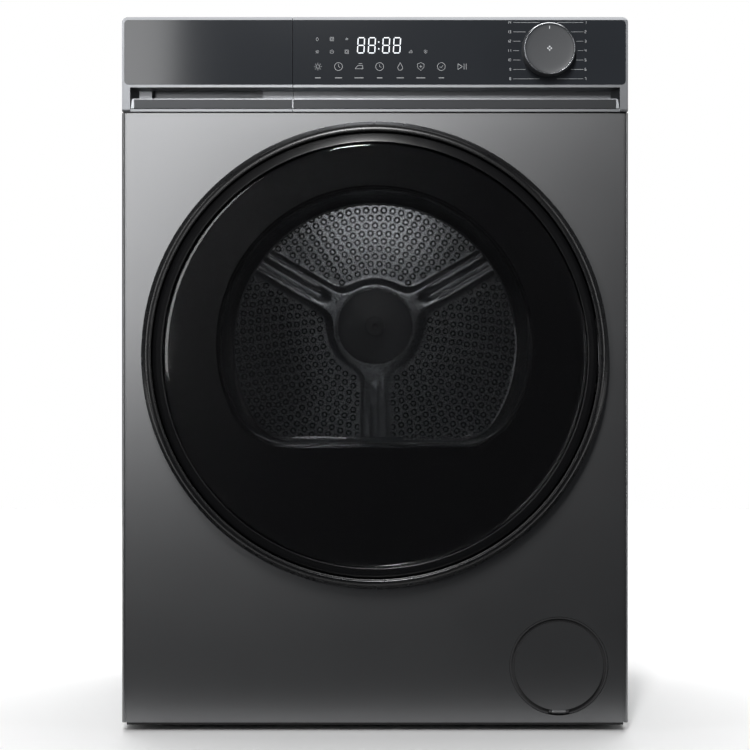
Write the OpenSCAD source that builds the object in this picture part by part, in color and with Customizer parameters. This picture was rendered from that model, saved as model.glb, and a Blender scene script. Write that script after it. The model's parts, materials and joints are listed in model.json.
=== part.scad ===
// Front-loading heat-pump clothes dryer, as an assembly of its separate pieces.
// +X right, +Z up, the front faces -Y, the origin is at the bottom centre. Millimetres.

/* [Cabinet] */
// Overall width
body_w = 595; // [560:5:640]
// Overall height, floor to the top of the fascia
body_h = 839; // [825:1:860]
// Depth from the front panel's face to the rear panel's face
body_d = 590; // [570:5:640]
// Thickness of the steel sheet
sheet_t = 0.9; // [0.7:0.1:1.5]
// Wall of the plastic mouldings
wall_t = 2.5; // [2:0.5:3.5]
// Gap below the side panels
skirt_gap = 10.8; // [9:0.2:16]

/* [Fascia and drawer] */
// Height of the fascia
fascia_h = 111; // [108:1:125]
// Height of the finger groove under the glass
groove_h = 30; // [26:1:36]
// How far the fascia stands in front of the front panel
fascia_proud = 7; // [4:1:12]
// Depth of the finger groove
groove_depth = 23; // [16:1:26]
// Width of the drawer front
drawer_w = 201; // [190:1:215]
// Length of the water tank
tank_len = 444; // [350:2:480]
// Wall of the water tank
tank_t = 2; // [1.5:0.5:3]
// Radius of the program knob
knob_r = 31.3; // [24:0.1:36]
// How far the knob stands in front of the glass
knob_proud = 20; // [14:1:26]

/* [Door] */
// Outer radius of the door ring
door_r = 273.5; // [262:0.5:280]
// Radius of the door glass
glass_r = 247; // [235:1:250]
// Height of the door's centre
door_z = 442; // [430:1:450]
// How far the door stands in front of the front panel
door_proud = 35; // [30:1:42]
// Radius of the loading window
window_r = 184; // [160:1:190]
// Height of the loading window's centre
window_z = 455; // [445:1:462]
// From the window's centre down to its flat lower edge
window_drop = 121; // [100:1:130]
// Corner radius at the window's flat lower edge
window_corner = 70; // [50:1:75]
// Radius of the door's hinge pin
pin_r = 3; // [2.5:0.5:4]

/* [Drum] */
// Outer radius of the drum
drum_r = 285; // [268:1:287]
// Height of the drum's axis
drum_z = 487; // [480:1:490]
// Thickness of the drum's sheet
drum_t = 0.8; // [0.6:0.1:1.2]
// Radius of the drum's shaft
shaft_r = 10; // [8:1:14]
// Radius of the hub cap on the rear wall
hub_r = 53; // [45:1:60]
// Radius of the front support rollers
roller_r = 30; // [24:1:34]
// Radius of the motor's belt pulley
pulley_r = 8; // [6:1:12]
// Width of the belt
belt_w = 12; // [8:1:16]

/* [Base] */
// Radius of the round service cover
cover_r = 52; // [46:1:56]
// Radius of a foot's pad
foot_r = 11.5; // [10:0.5:18]
// Height of a foot's pad
foot_h = 7; // [5:0.5:9]
// Radius of a foot's threaded stem
stem_r = 5; // [4:0.5:6]
// Height of the heat exchangers
exchanger_h = 155; // [120:5:155]

/* [Hidden] */
$fn = 96;
gap = 0.3;            // clearance between pieces on different bodies
run_fit = 0.05;       // radial running clearance of a pin in its bore
bulge = 25;           // how far the rear air duct stands out of the rear panel

half_w = body_w / 2;
total_d = door_proud + body_d + bulge;
door_face = -total_d / 2;
front_y = door_face + door_proud;
rear_y = front_y + body_d;

fascia_z = body_h - fascia_h;
glass_z = fascia_z + groove_h;
fascia_y = front_y - fascia_proud;
fascia_back = fascia_y + 35;
groove_back = fascia_y + groove_depth;
split_x = -half_w + drawer_w;
split_gap = 0.6;
corner_r = 7;
top_z = body_h - 1;
curl_r = 4;
rim_h = 20;
panel_top = fascia_z - 1.2;

bulkhead_y = front_y + 22;
collar_back = bulkhead_y + 46;
collar_r = drum_r - 29;
felt_t = 1.7;
drum_front = bulkhead_y + 36;
drum_back = rear_y - 68;
rear_frame_y = rear_y - 38;
spoke_angles = [30, 150, 270];
belt_t = 2.6;
belt_y = drum_front + 262;

pin_x = door_r - 11.5;
pin_y = front_y - 14;
arm_z = 38;
ear_z = 28;
knuckle_t = 8;
hook_x = -(glass_r - 4);
hook_w = 12;
plug_r = glass_r - 21;
bowl_back = bulkhead_y + 9;
throat_step = -15;
throat_low = -3;
sensor_gap = 12;
sensor_inset = 15.011;
throat_y = bulkhead_y + 14;

tank_floor = drum_z + drum_r - 30;
tank_top = top_z - 23;
tank_left = -half_w + 14.5;
tank_right = split_x - 4;
tank_front = fascia_y + 47;
knob_x = half_w - 94.5;
knob_z = glass_z + 41;

base_z = foot_h + gap;
base_h = 52;
boss_h = 32;
foot_x = half_w - 48.5;
foot_y = body_d / 2 - 58;
foot_mid = (front_y + rear_y) / 2;
cover_x = half_w - 81.5;
cover_z = 77;
cover_hinge_z = cover_z - cover_r - 1.7;
cover_hinge_y = front_y + 3;
cover_pin_r = 1.2;
cover_knuckle_r = 2.2;
cover_knuckle_w = 16;
cover_t = 3.5;
motor_x = half_w - 107.5;
motor_z = 120;
motor_r = 58;
blower_y = rear_frame_y - 72;
comp_x = -half_w + 118;
comp_y = rear_y - 160;
comp_r = 62;
exch_z = 30;
exch_x0 = -110;
exch_x1 = 100;
evap_y = bulkhead_y + 53;
cond_y = evap_y + 110;
filter_y = bulkhead_y + 16;
filter_t = 9;
filter_w = 190;
filter_z = 172;
filter_top = window_z - window_drop - throat_low + 1;
roller_a = 35;
roller_d = drum_r + gap + roller_r;
roller_x = roller_d * sin(roller_a);
roller_z = drum_z - roller_d * cos(roller_a);
roller_w = 22;
axle_r = 4;
mains_x = half_w - 46;
mains_z = 720;
mains_r = 14;
screw_r = 2;
rear_screw_places = [for (x = [-half_w + 22, -half_w / 3, half_w / 3, half_w - 22],
    z = [34, top_z - rim_h - 14]) [x, z]];
idler_r = 20;
belt_in = drum_r + gap;
belt_d = norm([motor_x, drum_z - motor_z]);
belt_a0 = atan2(motor_z - drum_z, motor_x);
belt_a1 = acos((drum_r - pulley_r) / belt_d);
run_a = belt_a0 - belt_a1;
idler_out = pulley_r + belt_t + 2 * gap + idler_r;
idler_x = motor_x + idler_out * cos(run_a) + 70 * sin(run_a);
idler_z = motor_z + idler_out * sin(run_a) - 70 * cos(run_a);
fan_y = rear_frame_y - 32;
fan_r = 46;
fan_z = 112;

// ---- shared shapes ----

// A flat outline in X and Z, carried along Y from y0 to y1
module along_y(y0, y1) {
    translate([0, y1, 0]) rotate([90, 0, 0]) linear_extrude(y1 - y0) children();
}

// A flat outline in Y and Z, carried along X from x0 to x1
module along_x(x0, x1) {
    translate([x0, 0, 0]) rotate([90, 0, 90]) linear_extrude(x1 - x0) children();
}

// A round bar along Y
module bar_y(x, z, r, y0, y1) {
    translate([x, y1, z]) rotate([90, 0, 0]) cylinder(r = r, h = y1 - y0);
}

// A round bar along X
module bar_x(y, z, r, x0, x1) {
    translate([x0, y, z]) rotate([0, 90, 0]) cylinder(r = r, h = x1 - x0);
}

// A ring along Y
module ring_y(x, z, r_in, r_out, y0, y1) {
    difference() {
        bar_y(x, z, r_out, y0, y1);
        bar_y(x, z, r_in, y0 - 1, y1 + 1);
    }
}

// A profile of [radius, y] turned about an axis along Y
module turned_y(x, z, profile) {
    translate([x, 0, z]) rotate([90, 0, 0]) rotate_extrude()
        polygon([for (p = profile) [p[0], -p[1]]]);
}

// A box given by its lowest and highest corners
module block(low, high) {
    translate(low) cube(high - low);
}

// A rectangle with round corners, between two corners
module round_rect(x0, z0, x1, z1, r) {
    union() {
        translate([x0 + r, z0]) square([x1 - x0 - 2 * r, z1 - z0]);
        translate([x0, z0 + r]) square([x1 - x0, z1 - z0 - 2 * r]);
        for (x = [x0 + r, x1 - r], z = [z0 + r, z1 - r]) translate([x, z]) circle(r);
    }
}

// Points of an arc
function arc(cx, cz, r, a0, a1, n) =
    [for (i = [0:n]) let(a = a0 + (a1 - a0) * i / n) [cx + r * cos(a), cz + r * sin(a)]];

// Half the length of the window's flat lower edge
function flat_half(g, low) = sqrt(pow(window_r - window_corner, 2)
    - pow(window_drop + low - window_corner - g, 2));

// The loading window: a circle with a flat lower edge and round corners,
// grown by g all round and by low at the flat edge
function window_points(g, low) =
    let(r = window_r + g, h = window_drop + low, c = window_corner + g,
        side = flat_half(g, low), a = atan2(c - h, side))
    concat(arc(0, window_z, r, a, 180 - a, 60),
        arc(-side, window_z - h + c, c, 180 - a, 270, 10),
        arc(side, window_z - h + c, c, -90, a, 10));

module window_shape(g) {
    polygon(window_points(g, g));
}

// The narrower opening behind the door's bowl, w thinner all round
module throat_shape(w = 0) {
    polygon(window_points(throat_step + w, throat_low + w));
}

// ---- cabinet ----

module base_tray() {
    color("#2b2d30") difference() {
        union() {
            block([-half_w + 5.2, front_y + 6, base_z], [half_w - 5.2, rear_y - 4, base_z + base_h]);
            for (x = [-foot_x, foot_x], y = [-foot_y, foot_y])
                translate([x, foot_mid + y, base_z]) cylinder(r = 14, h = boss_h);
        }
        difference() {
            block([-half_w + 8, front_y + 9, base_z + 4], [half_w - 8, rear_y - 7, base_z + base_h + 1]);
            for (x = [-foot_x, foot_x], y = [-foot_y, foot_y])
                translate([x, foot_mid + y, base_z]) cylinder(r = 14, h = boss_h);
            for (x = [-130, 120])
                block([x - 2, evap_y, base_z], [x + 2, evap_y + 120, base_z + 14]);
        }
        for (x = [-foot_x, foot_x], y = [-foot_y, foot_y])
            translate([x, foot_mid + y, base_z - 1]) cylinder(r = stem_r + run_fit, h = base_h + 2);
        block([cover_x - cover_r - 8, front_y - 1, cover_z - cover_r - 8],
            [cover_x + cover_r + 8, front_y + 40, cover_z + cover_r + 8]);
    }
}

// One side: a sheet with a curled front edge and a flange behind
module side_sheet() {
    difference() {
        translate([0, 0, skirt_gap]) linear_extrude(top_z - rim_h - skirt_gap) difference() {
            union() {
                intersection() {
                    translate([half_w - curl_r, front_y + curl_r]) circle(curl_r);
                    translate([half_w - curl_r, front_y]) square(curl_r);
                }
                translate([half_w - curl_r - sheet_t, front_y]) square([sheet_t, 12]);
                translate([half_w - curl_r, front_y + curl_r]) square([curl_r, body_d - curl_r]);
                translate([half_w - 12, rear_y - sheet_t]) square([12, sheet_t]);
            }
            translate([half_w - curl_r, front_y + curl_r]) circle(curl_r - sheet_t);
            translate([half_w - curl_r, front_y + curl_r])
                square([curl_r - sheet_t, body_d - curl_r - sheet_t]);
        }
        block([half_w - 30, front_y - 1, fascia_z - 1], [half_w + 1, fascia_back + 1, body_h]);
    }
}

module right_side_panel() {
    color("#55585c") side_sheet();
}

module left_side_panel() {
    color("#55585c") mirror([1, 0, 0]) side_sheet();
}

module rear_panel() {
    color("#8d9094") difference() {
        along_y(rear_y - sheet_t - 1, rear_y - 1) difference() {
            round_rect(-half_w + 1.5, 20, half_w - 1.5, top_z - rim_h - 1, 3);
            translate([0, drum_z]) circle(225);
            translate([motor_x - 45, motor_z - 45]) square([90, 120]);
            for (i = [0:8]) translate([comp_x - 45 + i * 10, 70]) square([5, 70]);
        }
        bar_y(mains_x, mains_z, mains_r + 0.2, rear_y - 10, rear_y + 1);
        for (p = rear_screw_places) bar_y(p[0], p[1], screw_r + 0.2, rear_y - 10, rear_y + 1);
    }
}

module rear_duct_cover() {
    color("#9a9da0") difference() {
        union() {
            turned_y(0, drum_z, [[0, rear_y + bulge], [205, rear_y + bulge], [222, rear_y + bulge - 6],
                [236, rear_y + 1], [248, rear_y + 1], [248, rear_y - 1], [0, rear_y - 1]]);
            along_y(rear_y - 1, rear_y + bulge - 8)
                polygon([[60, drum_z - 225], [205, drum_z - 90], [motor_x + 52, motor_z + 60],
                    [motor_x + 52, motor_z - 40], [motor_x - 60, motor_z - 40]]);
        }
        turned_y(0, drum_z, [[0, rear_y + bulge - 1.5], [204, rear_y + bulge - 1.5],
            [220, rear_y + bulge - 7], [234, rear_y - 2], [0, rear_y - 2]]);
        along_y(rear_y - 2, rear_y + bulge - 9.5)
            polygon([[64, drum_z - 200], [190, drum_z - 90], [motor_x + 45, motor_z + 54],
                [motor_x + 45, motor_z - 36], [motor_x - 54, motor_z - 36]]);
    }
}

module front_panel() {
    edge = half_w - curl_r - sheet_t - 0.2;
    color("#5a5d61") difference() {
        union() {
            along_y(front_y, front_y + sheet_t)
                round_rect(-edge, skirt_gap, edge, panel_top, 1.5);
            for (s = [-1, 1])
                block([s * (edge - 2) - 0.45, front_y, skirt_gap + 2],
                    [s * (edge - 2) + 0.45, front_y + 5, panel_top - 2]);
            ring_y(0, door_z, plug_r + 4, plug_r + 4 + sheet_t, front_y, bulkhead_y - 4);
        }
        bar_y(0, door_z, plug_r + 4, front_y - 1, front_y + 5);
        bar_y(cover_x, cover_z, cover_r + 6, front_y - 1, front_y + 5);
        block([hook_x - 10, front_y - 1, door_z - 16], [hook_x + 10, front_y + 3, door_z + 16]);
        for (s = [-1, 1])
            block([pin_x - 6, front_y - 1, door_z + s * arm_z - 6],
                [pin_x + 6, front_y + 3, door_z + s * arm_z + 6]);
    }
}

module top_cover() {
    color("#505357") difference() {
        along_y(fascia_back + 0.5, rear_y + 2)
            round_rect(-half_w, top_z - rim_h + 1, half_w, top_z, 3);
        block([-half_w + 2, fascia_back - 1, top_z - rim_h - 1], [half_w - 2, rear_y, top_z - 2]);
    }
}

// ---- fascia and drawer ----

// Section of the fascia in Y and Z, with the finger groove below the glass
module fascia_section() {
    polygon([[fascia_back, body_h], [fascia_y + 4, body_h], [fascia_y, body_h - 4],
        [fascia_y, glass_z - 2], [groove_back, glass_z - 4], [groove_back, glass_z - 14],
        [fascia_y + 7.4, glass_z - 14], [fascia_y + 6.8, glass_z - 14.8], [fascia_y + 4, fascia_z + 4],
        [fascia_y + 3, fascia_z + 3], [fascia_y + 3, fascia_z], [fascia_back, fascia_z]]);
}

// The hollow behind that section
module fascia_hollow() {
    polygon([[fascia_back + 1, body_h - 3], [fascia_y + 6, body_h - 3], [fascia_y + 4, body_h - 5],
        [fascia_y + 4, glass_z], [groove_back + 2.5, glass_z - 2], [groove_back + 2.5, glass_z - 16.5],
        [fascia_y + 10, glass_z - 16.5], [fascia_y + 7, fascia_z + 5], [fascia_y + 7, fascia_z + 3],
        [fascia_back + 1, fascia_z + 3]]);
}

// Outline of the glass between x0 and x1: it stops short of the outer end and runs up to the seam
module glass_outline(x0, x1, outer, inset) {
    intersection() {
        round_rect(outer > 0 ? x0 - 20 : x0 + inset, glass_z + inset - 1.6,
            outer > 0 ? x1 - inset : x1 + 20, body_h - inset - 1.4, 5);
        translate([x0, glass_z]) square([x1 - x0, fascia_h]);
    }
}

// One piece of the fascia from x0 to x1, with a cheek that closes the groove at the outer end
module fascia_piece(x0, x1, outer) {
    inner = -outer;
    end = outer > 0 ? x1 : x0;
    cheek = 9.5;
    intersection() {
        difference() {
            union() {
                along_x(x0, x1) fascia_section();
                translate([0, 0, fascia_z]) linear_extrude(groove_h)
                    polygon([[end, fascia_y + 3], [end - outer * cheek, fascia_y + 3],
                        [end - outer * (cheek + 9), groove_back + 1], [end, groove_back + 1]]);
                along_x(min(end, end - outer * cheek), max(end, end - outer * cheek))
                    polygon([[fascia_y, glass_z], [fascia_y, fascia_z + 2], [fascia_y + 2, fascia_z],
                        [fascia_back, fascia_z], [fascia_back, glass_z]]);
            }
            along_x(x0 + wall_t, x1 - wall_t) fascia_hollow();
            along_y(fascia_y - 1, fascia_y + 2) glass_outline(x0, x1, outer, 2.6);
        }
        along_y(fascia_y - 2, fascia_back + 1) union() {
            round_rect(x0, fascia_z, x1, body_h, corner_r);
            translate([min(inner * half_w, (x0 + x1) / 2), fascia_z])
                square([max(inner * half_w, (x0 + x1) / 2) - min(inner * half_w, (x0 + x1) / 2), fascia_h]);
            translate([x0, fascia_z]) square([x1 - x0, fascia_h / 2]);
        }
    }
}

// The dark glass that sits in the fascia's front
module fascia_glass(x0, x1, outer) {
    along_y(fascia_y - 0.2, fascia_y + 2) glass_outline(x0, x1, outer, 2.7);
}

fascia_x0 = -half_w + 1;
fascia_x1 = half_w - 1;

module control_panel() {
    color("#6d7175") difference() {
        fascia_piece(split_x + split_gap / 2, fascia_x1, 1);
        bar_y(knob_x, knob_z, 12, fascia_y - 1, fascia_y + 6);
    }
}

module control_glass() {
    color("#33363a") difference() {
        fascia_glass(split_x + split_gap / 2, fascia_x1, 1);
        bar_y(knob_x, knob_z, 12, fascia_y - 1, fascia_y + 6);
    }
}

module display_board() {
    color("#2c5e3b") {
        block([split_x + 25, fascia_y + 14, glass_z + 4], [half_w - 20, fascia_y + 15.6, body_h - 12]);
        block([-28, fascia_y + 4.5, glass_z + 24], [38, fascia_y + 14, body_h - 15]);
        bar_y(knob_x, knob_z, 11, fascia_y + 9, fascia_y + 14);
    }
}

module drawer_front() {
    x0 = fascia_x0;
    x1 = split_x - split_gap / 2;
    grip_x0 = x0 + 33;
    grip_x1 = x1 - 35.7;
    grip_z0 = glass_z - 14;
    grip_z1 = glass_z - 4.5;
    pocket_back = fascia_back + 7;
    color("#6d7175") difference() {
        union() {
            fascia_piece(x0, x1, -1);
            block([grip_x0 - 2.5, groove_back, grip_z0 - 2.5],
                [grip_x1 + 2.5, pocket_back + 2, grip_z1 + 7]);
            block([tank_left + 4, fascia_back - 2.5, glass_z + 2], [x1 - 6, fascia_back, body_h - 30]);
            block([tank_left + 30, fascia_back - 1, glass_z + 10],
                [tank_left + 50, tank_front, tank_top - 20]);
            block([x1 - 50, fascia_back - 1, glass_z + 10], [x1 - 30, tank_front, tank_top - 20]);
        }
        block([grip_x0, groove_back - 3, grip_z0], [grip_x1, pocket_back, grip_z1 + 4.5]);
    }
}

module drawer_glass() {
    color("#45484c") fascia_glass(fascia_x0, split_x - split_gap / 2, -1);
}

// Outline of the tank in X and Z; it follows the drum's curve below, drawn in by g
module tank_outline(g) {
    polygon([[tank_left + g, tank_floor + g], [tank_right - 62 - g / 2, tank_floor + g],
        [tank_right - g, tank_floor + 30 + g * 0.6], [tank_right - g, tank_top - g],
        [tank_left + g, tank_top - g]]);
}

module water_tank() {
    color("#b9bec3") difference() {
        along_y(tank_front, tank_front + tank_len) tank_outline(0);
        along_y(tank_front + tank_t, tank_front + tank_len - tank_t) tank_outline(tank_t);
        translate([tank_left + 40, tank_front + tank_len - 50, tank_top - 10]) cylinder(r = 16, h = 20);
    }
}

module tank_cradle() {
    slack = 1;
    t = 2;
    color("#3a3c3f") difference() {
        along_y(tank_front + 12, tank_front + tank_len + 12) tank_outline(-slack - t);
        along_y(tank_front, tank_front + tank_len + 6) tank_outline(-slack);
        block([tank_left - 10, tank_front, tank_top - 8],
            [tank_right + 10, tank_front + tank_len + 20, body_h]);
    }
}

module program_knob() {
    base_y = fascia_y - 0.2 - gap;
    front = base_y - knob_proud;
    color("#3c3f43") difference() {
        union() {
            turned_y(knob_x, knob_z, [[0, base_y], [knob_r, base_y], [knob_r, base_y - 4],
                [knob_r - 1.2, front + 2], [knob_r - 3, front], [0, front]]);
            bar_y(knob_x, knob_z, 6, base_y - 1, fascia_y + 8);
        }
        block([knob_x - 0.6, front - 1, knob_z + knob_r - 8],
            [knob_x + 0.6, front + 0.8, knob_z + knob_r - 4]);
    }
}

// ---- loading opening and door ----

module front_bulkhead() {
    plate_t = 3;
    color("#2c2e31") difference() {
        union() {
            along_y(bulkhead_y, bulkhead_y + plate_t)
                translate([-half_w + 6, 190]) square([body_w - 12, panel_top - 192]);
            ring_y(0, drum_z, collar_r - 3, collar_r, bulkhead_y, collar_back);
            along_y(bulkhead_y, throat_y + 2) window_shape(9);
            along_y(throat_y, collar_back) throat_shape(wall_t);
            bar_y(0, drum_z, collar_r, collar_back - 3, collar_back);
            for (s = [-1, 1]) bar_y(s * roller_x, roller_z, 6, bulkhead_y, drum_front + 2);
            for (s = [-1, 1]) bar_y(s * roller_x, roller_z, 4, bulkhead_y, drum_front + 28);
        }
        along_y(bulkhead_y - 1, throat_y) window_shape(6);
        along_y(throat_y - 1, collar_back + 1) throat_shape();
        block([-half_w, bulkhead_y - 1, fascia_z - 1], [half_w, fascia_back + 0.5, body_h]);
        block([-filter_w / 2 - 11, filter_y - 4, 180],
            [filter_w / 2 + 11, filter_y + filter_t + 4, filter_top - 2]);
        block([-filter_w / 2 - 0.8, filter_y - 0.8, 180],
            [filter_w / 2 + 0.8, filter_y + filter_t + 0.8, filter_top + 40]);
    }
}

module door_seal() {
    color("#1e1f21") ring_y(0, window_z - 8, window_r + 14, window_r + 22, bulkhead_y - 3.7, bulkhead_y);
}

module drum_front_seal() {
    color("#d8d4c8") ring_y(0, drum_z, collar_r, collar_r + felt_t, drum_front - 8, collar_back - 1);
}

module sensor_bars() {
    z = window_z - window_drop - throat_low;
    far = flat_half(throat_step, throat_low) - sensor_inset;
    color("#b8bbbe") for (s = [-1, 1])
        block([min(s * sensor_gap, s * far), collar_back - 12, z + 0.2],
            [max(s * sensor_gap, s * far), collar_back - 6, z + 2.2]);
}

module lint_duct() {
    low = 62;
    t = 2;
    x = filter_w / 2;
    color("#303235") difference() {
        block([-x - 8, filter_y - 3, low], [x + 8, filter_y + filter_t + 3, filter_top - 3]);
        block([-x - 0.8, filter_y - 0.8, low + t], [x + 0.8, filter_y + filter_t + 0.8, filter_top]);
        block([-x, filter_y, low + t + 4], [x, filter_y + filter_t + 5, filter_z - 14]);
    }
}

module lint_filter() {
    x = filter_w / 2;
    color("#7c8084") difference() {
        union() {
            block([-x, filter_y, filter_z], [x, filter_y + filter_t, filter_top]);
            block([-34, filter_y, filter_top], [34, filter_y + 4, filter_top + 7]);
        }
        for (i = [0:2]) block([-x + 6 + i * (2 * x - 8) / 3, filter_y - 1, filter_z + 5],
            [-x + 2 + (i + 1) * (2 * x - 8) / 3, filter_y + filter_t + 1, filter_top - 12]);
        block([-x + 4, filter_y + 2, filter_z + 4], [x - 4, filter_y + filter_t - 2, filter_top + 1]);
    }
    color("#c9ccd0") block([-x + 4, filter_y + filter_t / 2 - 0.4, filter_z + 3],
        [x - 4, filter_y + filter_t / 2 + 0.4, filter_top - 8]);
}

module door_ring() {
    front = door_face;
    profile = [[pin_x - 1, front_y - 0.6], [pin_x + 5, front_y - 2.2], [pin_x + 9.5, front_y - 6],
        [door_r, pin_y], [door_r - 0.6, pin_y - 8], [door_r - 3.5, front + 7],
        [door_r - 6.5, front + 2.6], [door_r - 11, front + 0.4], [door_r - 14, front],
        [glass_r + 4, front + 4.5], [glass_r + 0.2, front + 6], [glass_r + 0.2, front + 10]];
    inside = [[glass_r + 3.2, front + 10], [glass_r + 3.2, front + 7.5], [door_r - 14, front + 3],
        [door_r - 9, front + 4.6], [door_r - 4.6, front + 10], [door_r - 3, pin_y - 8],
        [door_r - 3, pin_y], [pin_x + 6.6, front_y - 4.6], [pin_x - 1, front_y - 3.2]];
    slot = knuckle_t / 2 + 1;
    color("#17181a") difference() {
        turned_y(0, door_z, concat(profile, inside));
        for (s = [-1, 1])
            block([pin_x - 12, pin_y - 9, door_z + s * arm_z - slot],
                [half_w, front_y + 1, door_z + s * arm_z + slot]);
    }
}

module door_glass() {
    color([0.03, 0.03, 0.035, 0.9]) turned_y(0, door_z, [[0, door_face + 5], [180, door_face + 5.6],
        [glass_r, door_face + 7.2], [glass_r, door_face + 10.6], [180, door_face + 9.4],
        [0, door_face + 9]]);
}

// The door's inner frame: a back plate, a plug that enters the opening, and the hinge ears
module door_inner_frame() {
    plate_y = front_y - 4.5;
    plug_back = bulkhead_y - 4;
    color("#202225") difference() {
        union() {
            ring_y(0, door_z, plug_r - 3, pin_x - 1.6, plate_y, front_y - 1.2);
            ring_y(0, door_z, plug_r - 3, plug_r, plate_y, plug_back);
            ring_y(0, door_z, glass_r - 6, glass_r, door_face + 11, plate_y + 1);
            difference() {
                bar_y(0, door_z, plug_r - 1, plug_back - 3, plug_back);
                along_y(plug_back - 4, plug_back + 1) window_shape(1.2);
            }
            for (s = [-1, 1]) translate([0, 0, door_z + s * ear_z - knuckle_t / 2]) {
                translate([pin_x, pin_y, 0]) cylinder(r = pin_r + 3, h = knuckle_t);
                translate([pin_x - 14, pin_y - 3, 0]) cube([14, 6, knuckle_t]);
                translate([pin_x - 14, pin_y - 3, 0]) cube([8, front_y - pin_y, knuckle_t]);
            }
        }
        translate([pin_x, pin_y, door_z - 60]) cylinder(r = pin_r + run_fit, h = 120);
        for (s = [-1, 1])
            block([pin_x - 12, pin_y - 9, door_z + s * arm_z - 5],
                [pin_x + 12, front_y + 1, door_z + s * arm_z + 5]);
    }
}

module door_bowl() {
    front = front_y - 8;
    flange_y = bulkhead_y - 7;
    color([0.75, 0.8, 0.82, 0.35]) difference() {
        union() {
            along_y(front, bowl_back) window_shape(1);
            along_y(flange_y - 3.2, flange_y - 0.2) window_shape(9);
        }
        along_y(front - 1, bowl_back - 3) window_shape(-2);
    }
}

module door_hook() {
    color("#a8abae") difference() {
        block([hook_x - hook_w / 2, front_y - 1.2, door_z - 9],
            [hook_x + hook_w / 2, front_y + 15, door_z + 9]);
        block([hook_x - 3, front_y + 4, door_z - 10], [hook_x + hook_w, front_y + 10, door_z + 10]);
    }
}

module door_lock() {
    x0 = hook_x - 14;
    x1 = hook_x + 11;
    color("#e4e4e0") difference() {
        block([x0, front_y + sheet_t, door_z - 28], [x1, bulkhead_y - 0.5, door_z + 28]);
        block([hook_x - 9, front_y, door_z - 14], [hook_x + 9, bulkhead_y - 3, door_z + 14]);
    }
}

module hinge_bracket() {
    color("#9b9ea2") {
        difference() {
            union() {
                block([pin_x - 8, front_y + sheet_t, door_z - 60],
                    [pin_x + 22, front_y + sheet_t + 2, door_z + 60]);
                for (s = [-1, 1]) translate([0, 0, door_z + s * arm_z - knuckle_t / 2]) {
                    translate([pin_x - 2.5, pin_y, 0]) cube([5, front_y + 2 - pin_y, knuckle_t]);
                    translate([pin_x, pin_y, 0]) cylinder(r = pin_r + 1.8, h = knuckle_t);
                }
            }
            for (z = [-52, 0, 52]) bar_y(pin_x + 14, door_z + z, 2.5, front_y, front_y + 5);
        }
        translate([pin_x, pin_y, door_z - arm_z - 5]) cylinder(r = pin_r, h = 2 * arm_z + 10);
    }
}

// ---- drum and its drive ----

module drum_shell() {
    lip_r = collar_r + felt_t + gap;
    color("#c4c7ca") turned_y(0, drum_z, [[lip_r, drum_front], [drum_r - 3, drum_front],
        [drum_r, drum_front + 3], [drum_r, drum_back], [drum_r - drum_t, drum_back],
        [drum_r - drum_t, drum_front + 3.2], [drum_r - 3.4, drum_front + drum_t],
        [lip_r, drum_front + drum_t]]);
}

spoke_h = 12;
spoke_w = 34;

// The rear wall: a pressed disc with three hollow spokes that meet at the hub
module drum_rear_wall() {
    t = 1;
    inner_r = drum_r - drum_t;
    color("#b4b8bc") difference() {
        union() {
            bar_y(0, drum_z, inner_r, drum_back - t, drum_back);
            bar_y(0, drum_z, hub_r + 14, drum_back - spoke_h, drum_back);
            translate([0, 0, drum_z]) for (a = spoke_angles) rotate([0, -a, 0])
                block([0, drum_back - spoke_h, -spoke_w / 2], [inner_r - 16, drum_back, spoke_w / 2]);
        }
        bar_y(0, drum_z, hub_r + 12, drum_back - spoke_h + t, drum_back + 1);
        translate([0, 0, drum_z]) for (a = spoke_angles) rotate([0, -a, 0])
            block([0, drum_back - spoke_h + t, -spoke_w / 2 + t],
                [inner_r - 17, drum_back + 1, spoke_w / 2 - t]);
        bar_y(0, drum_z, shaft_r + 0.2, drum_back - spoke_h - 1, drum_back + 1);
    }
}

module hub_cap() {
    y = drum_back - spoke_h;
    color("#6f7377") turned_y(0, drum_z, [[0, y - 9], [9, y - 9], [11, y - 7.5], [hub_r - 6, y - 5.5],
        [hub_r - 1.5, y - 4], [hub_r, y - 1], [hub_r, y], [hub_r - 2, y], [hub_r - 3, y - 2.5],
        [0, y - 5]]);
}

// Three lifters between the spokes, each a hollow ridge along the drum
module drum_lifters() {
    foot_w = 74;
    inner_r = drum_r - drum_t;
    ridge_r = drum_r - 58;
    color("#7d8185") translate([0, 0, drum_z]) for (a = spoke_angles) rotate([0, -a - 60, 0])
        difference() {
            along_y(drum_front + 26, drum_back - 8) intersection() {
                circle(inner_r);
                polygon([[inner_r + 5, -foot_w / 2], [ridge_r + 8, -11], [ridge_r, -4], [ridge_r, 4],
                    [ridge_r + 8, 11], [inner_r + 5, foot_w / 2]]);
            }
            along_y(drum_front + 29, drum_back - 11)
                polygon([[inner_r + 5, -foot_w / 2 + 4], [ridge_r + 10, -8.5], [ridge_r + 3, -2],
                    [ridge_r + 3, 2], [ridge_r + 10, 8.5], [inner_r + 5, foot_w / 2 - 4]]);
        }
}

module drum_shaft() {
    color("#8e9195") union() {
        bar_y(0, drum_z, shaft_r, drum_back - spoke_h - 4, rear_frame_y + 22);
        bar_y(0, drum_z, hub_r + 4, drum_back - spoke_h + 1, drum_back - spoke_h + 5);
    }
}

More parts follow.
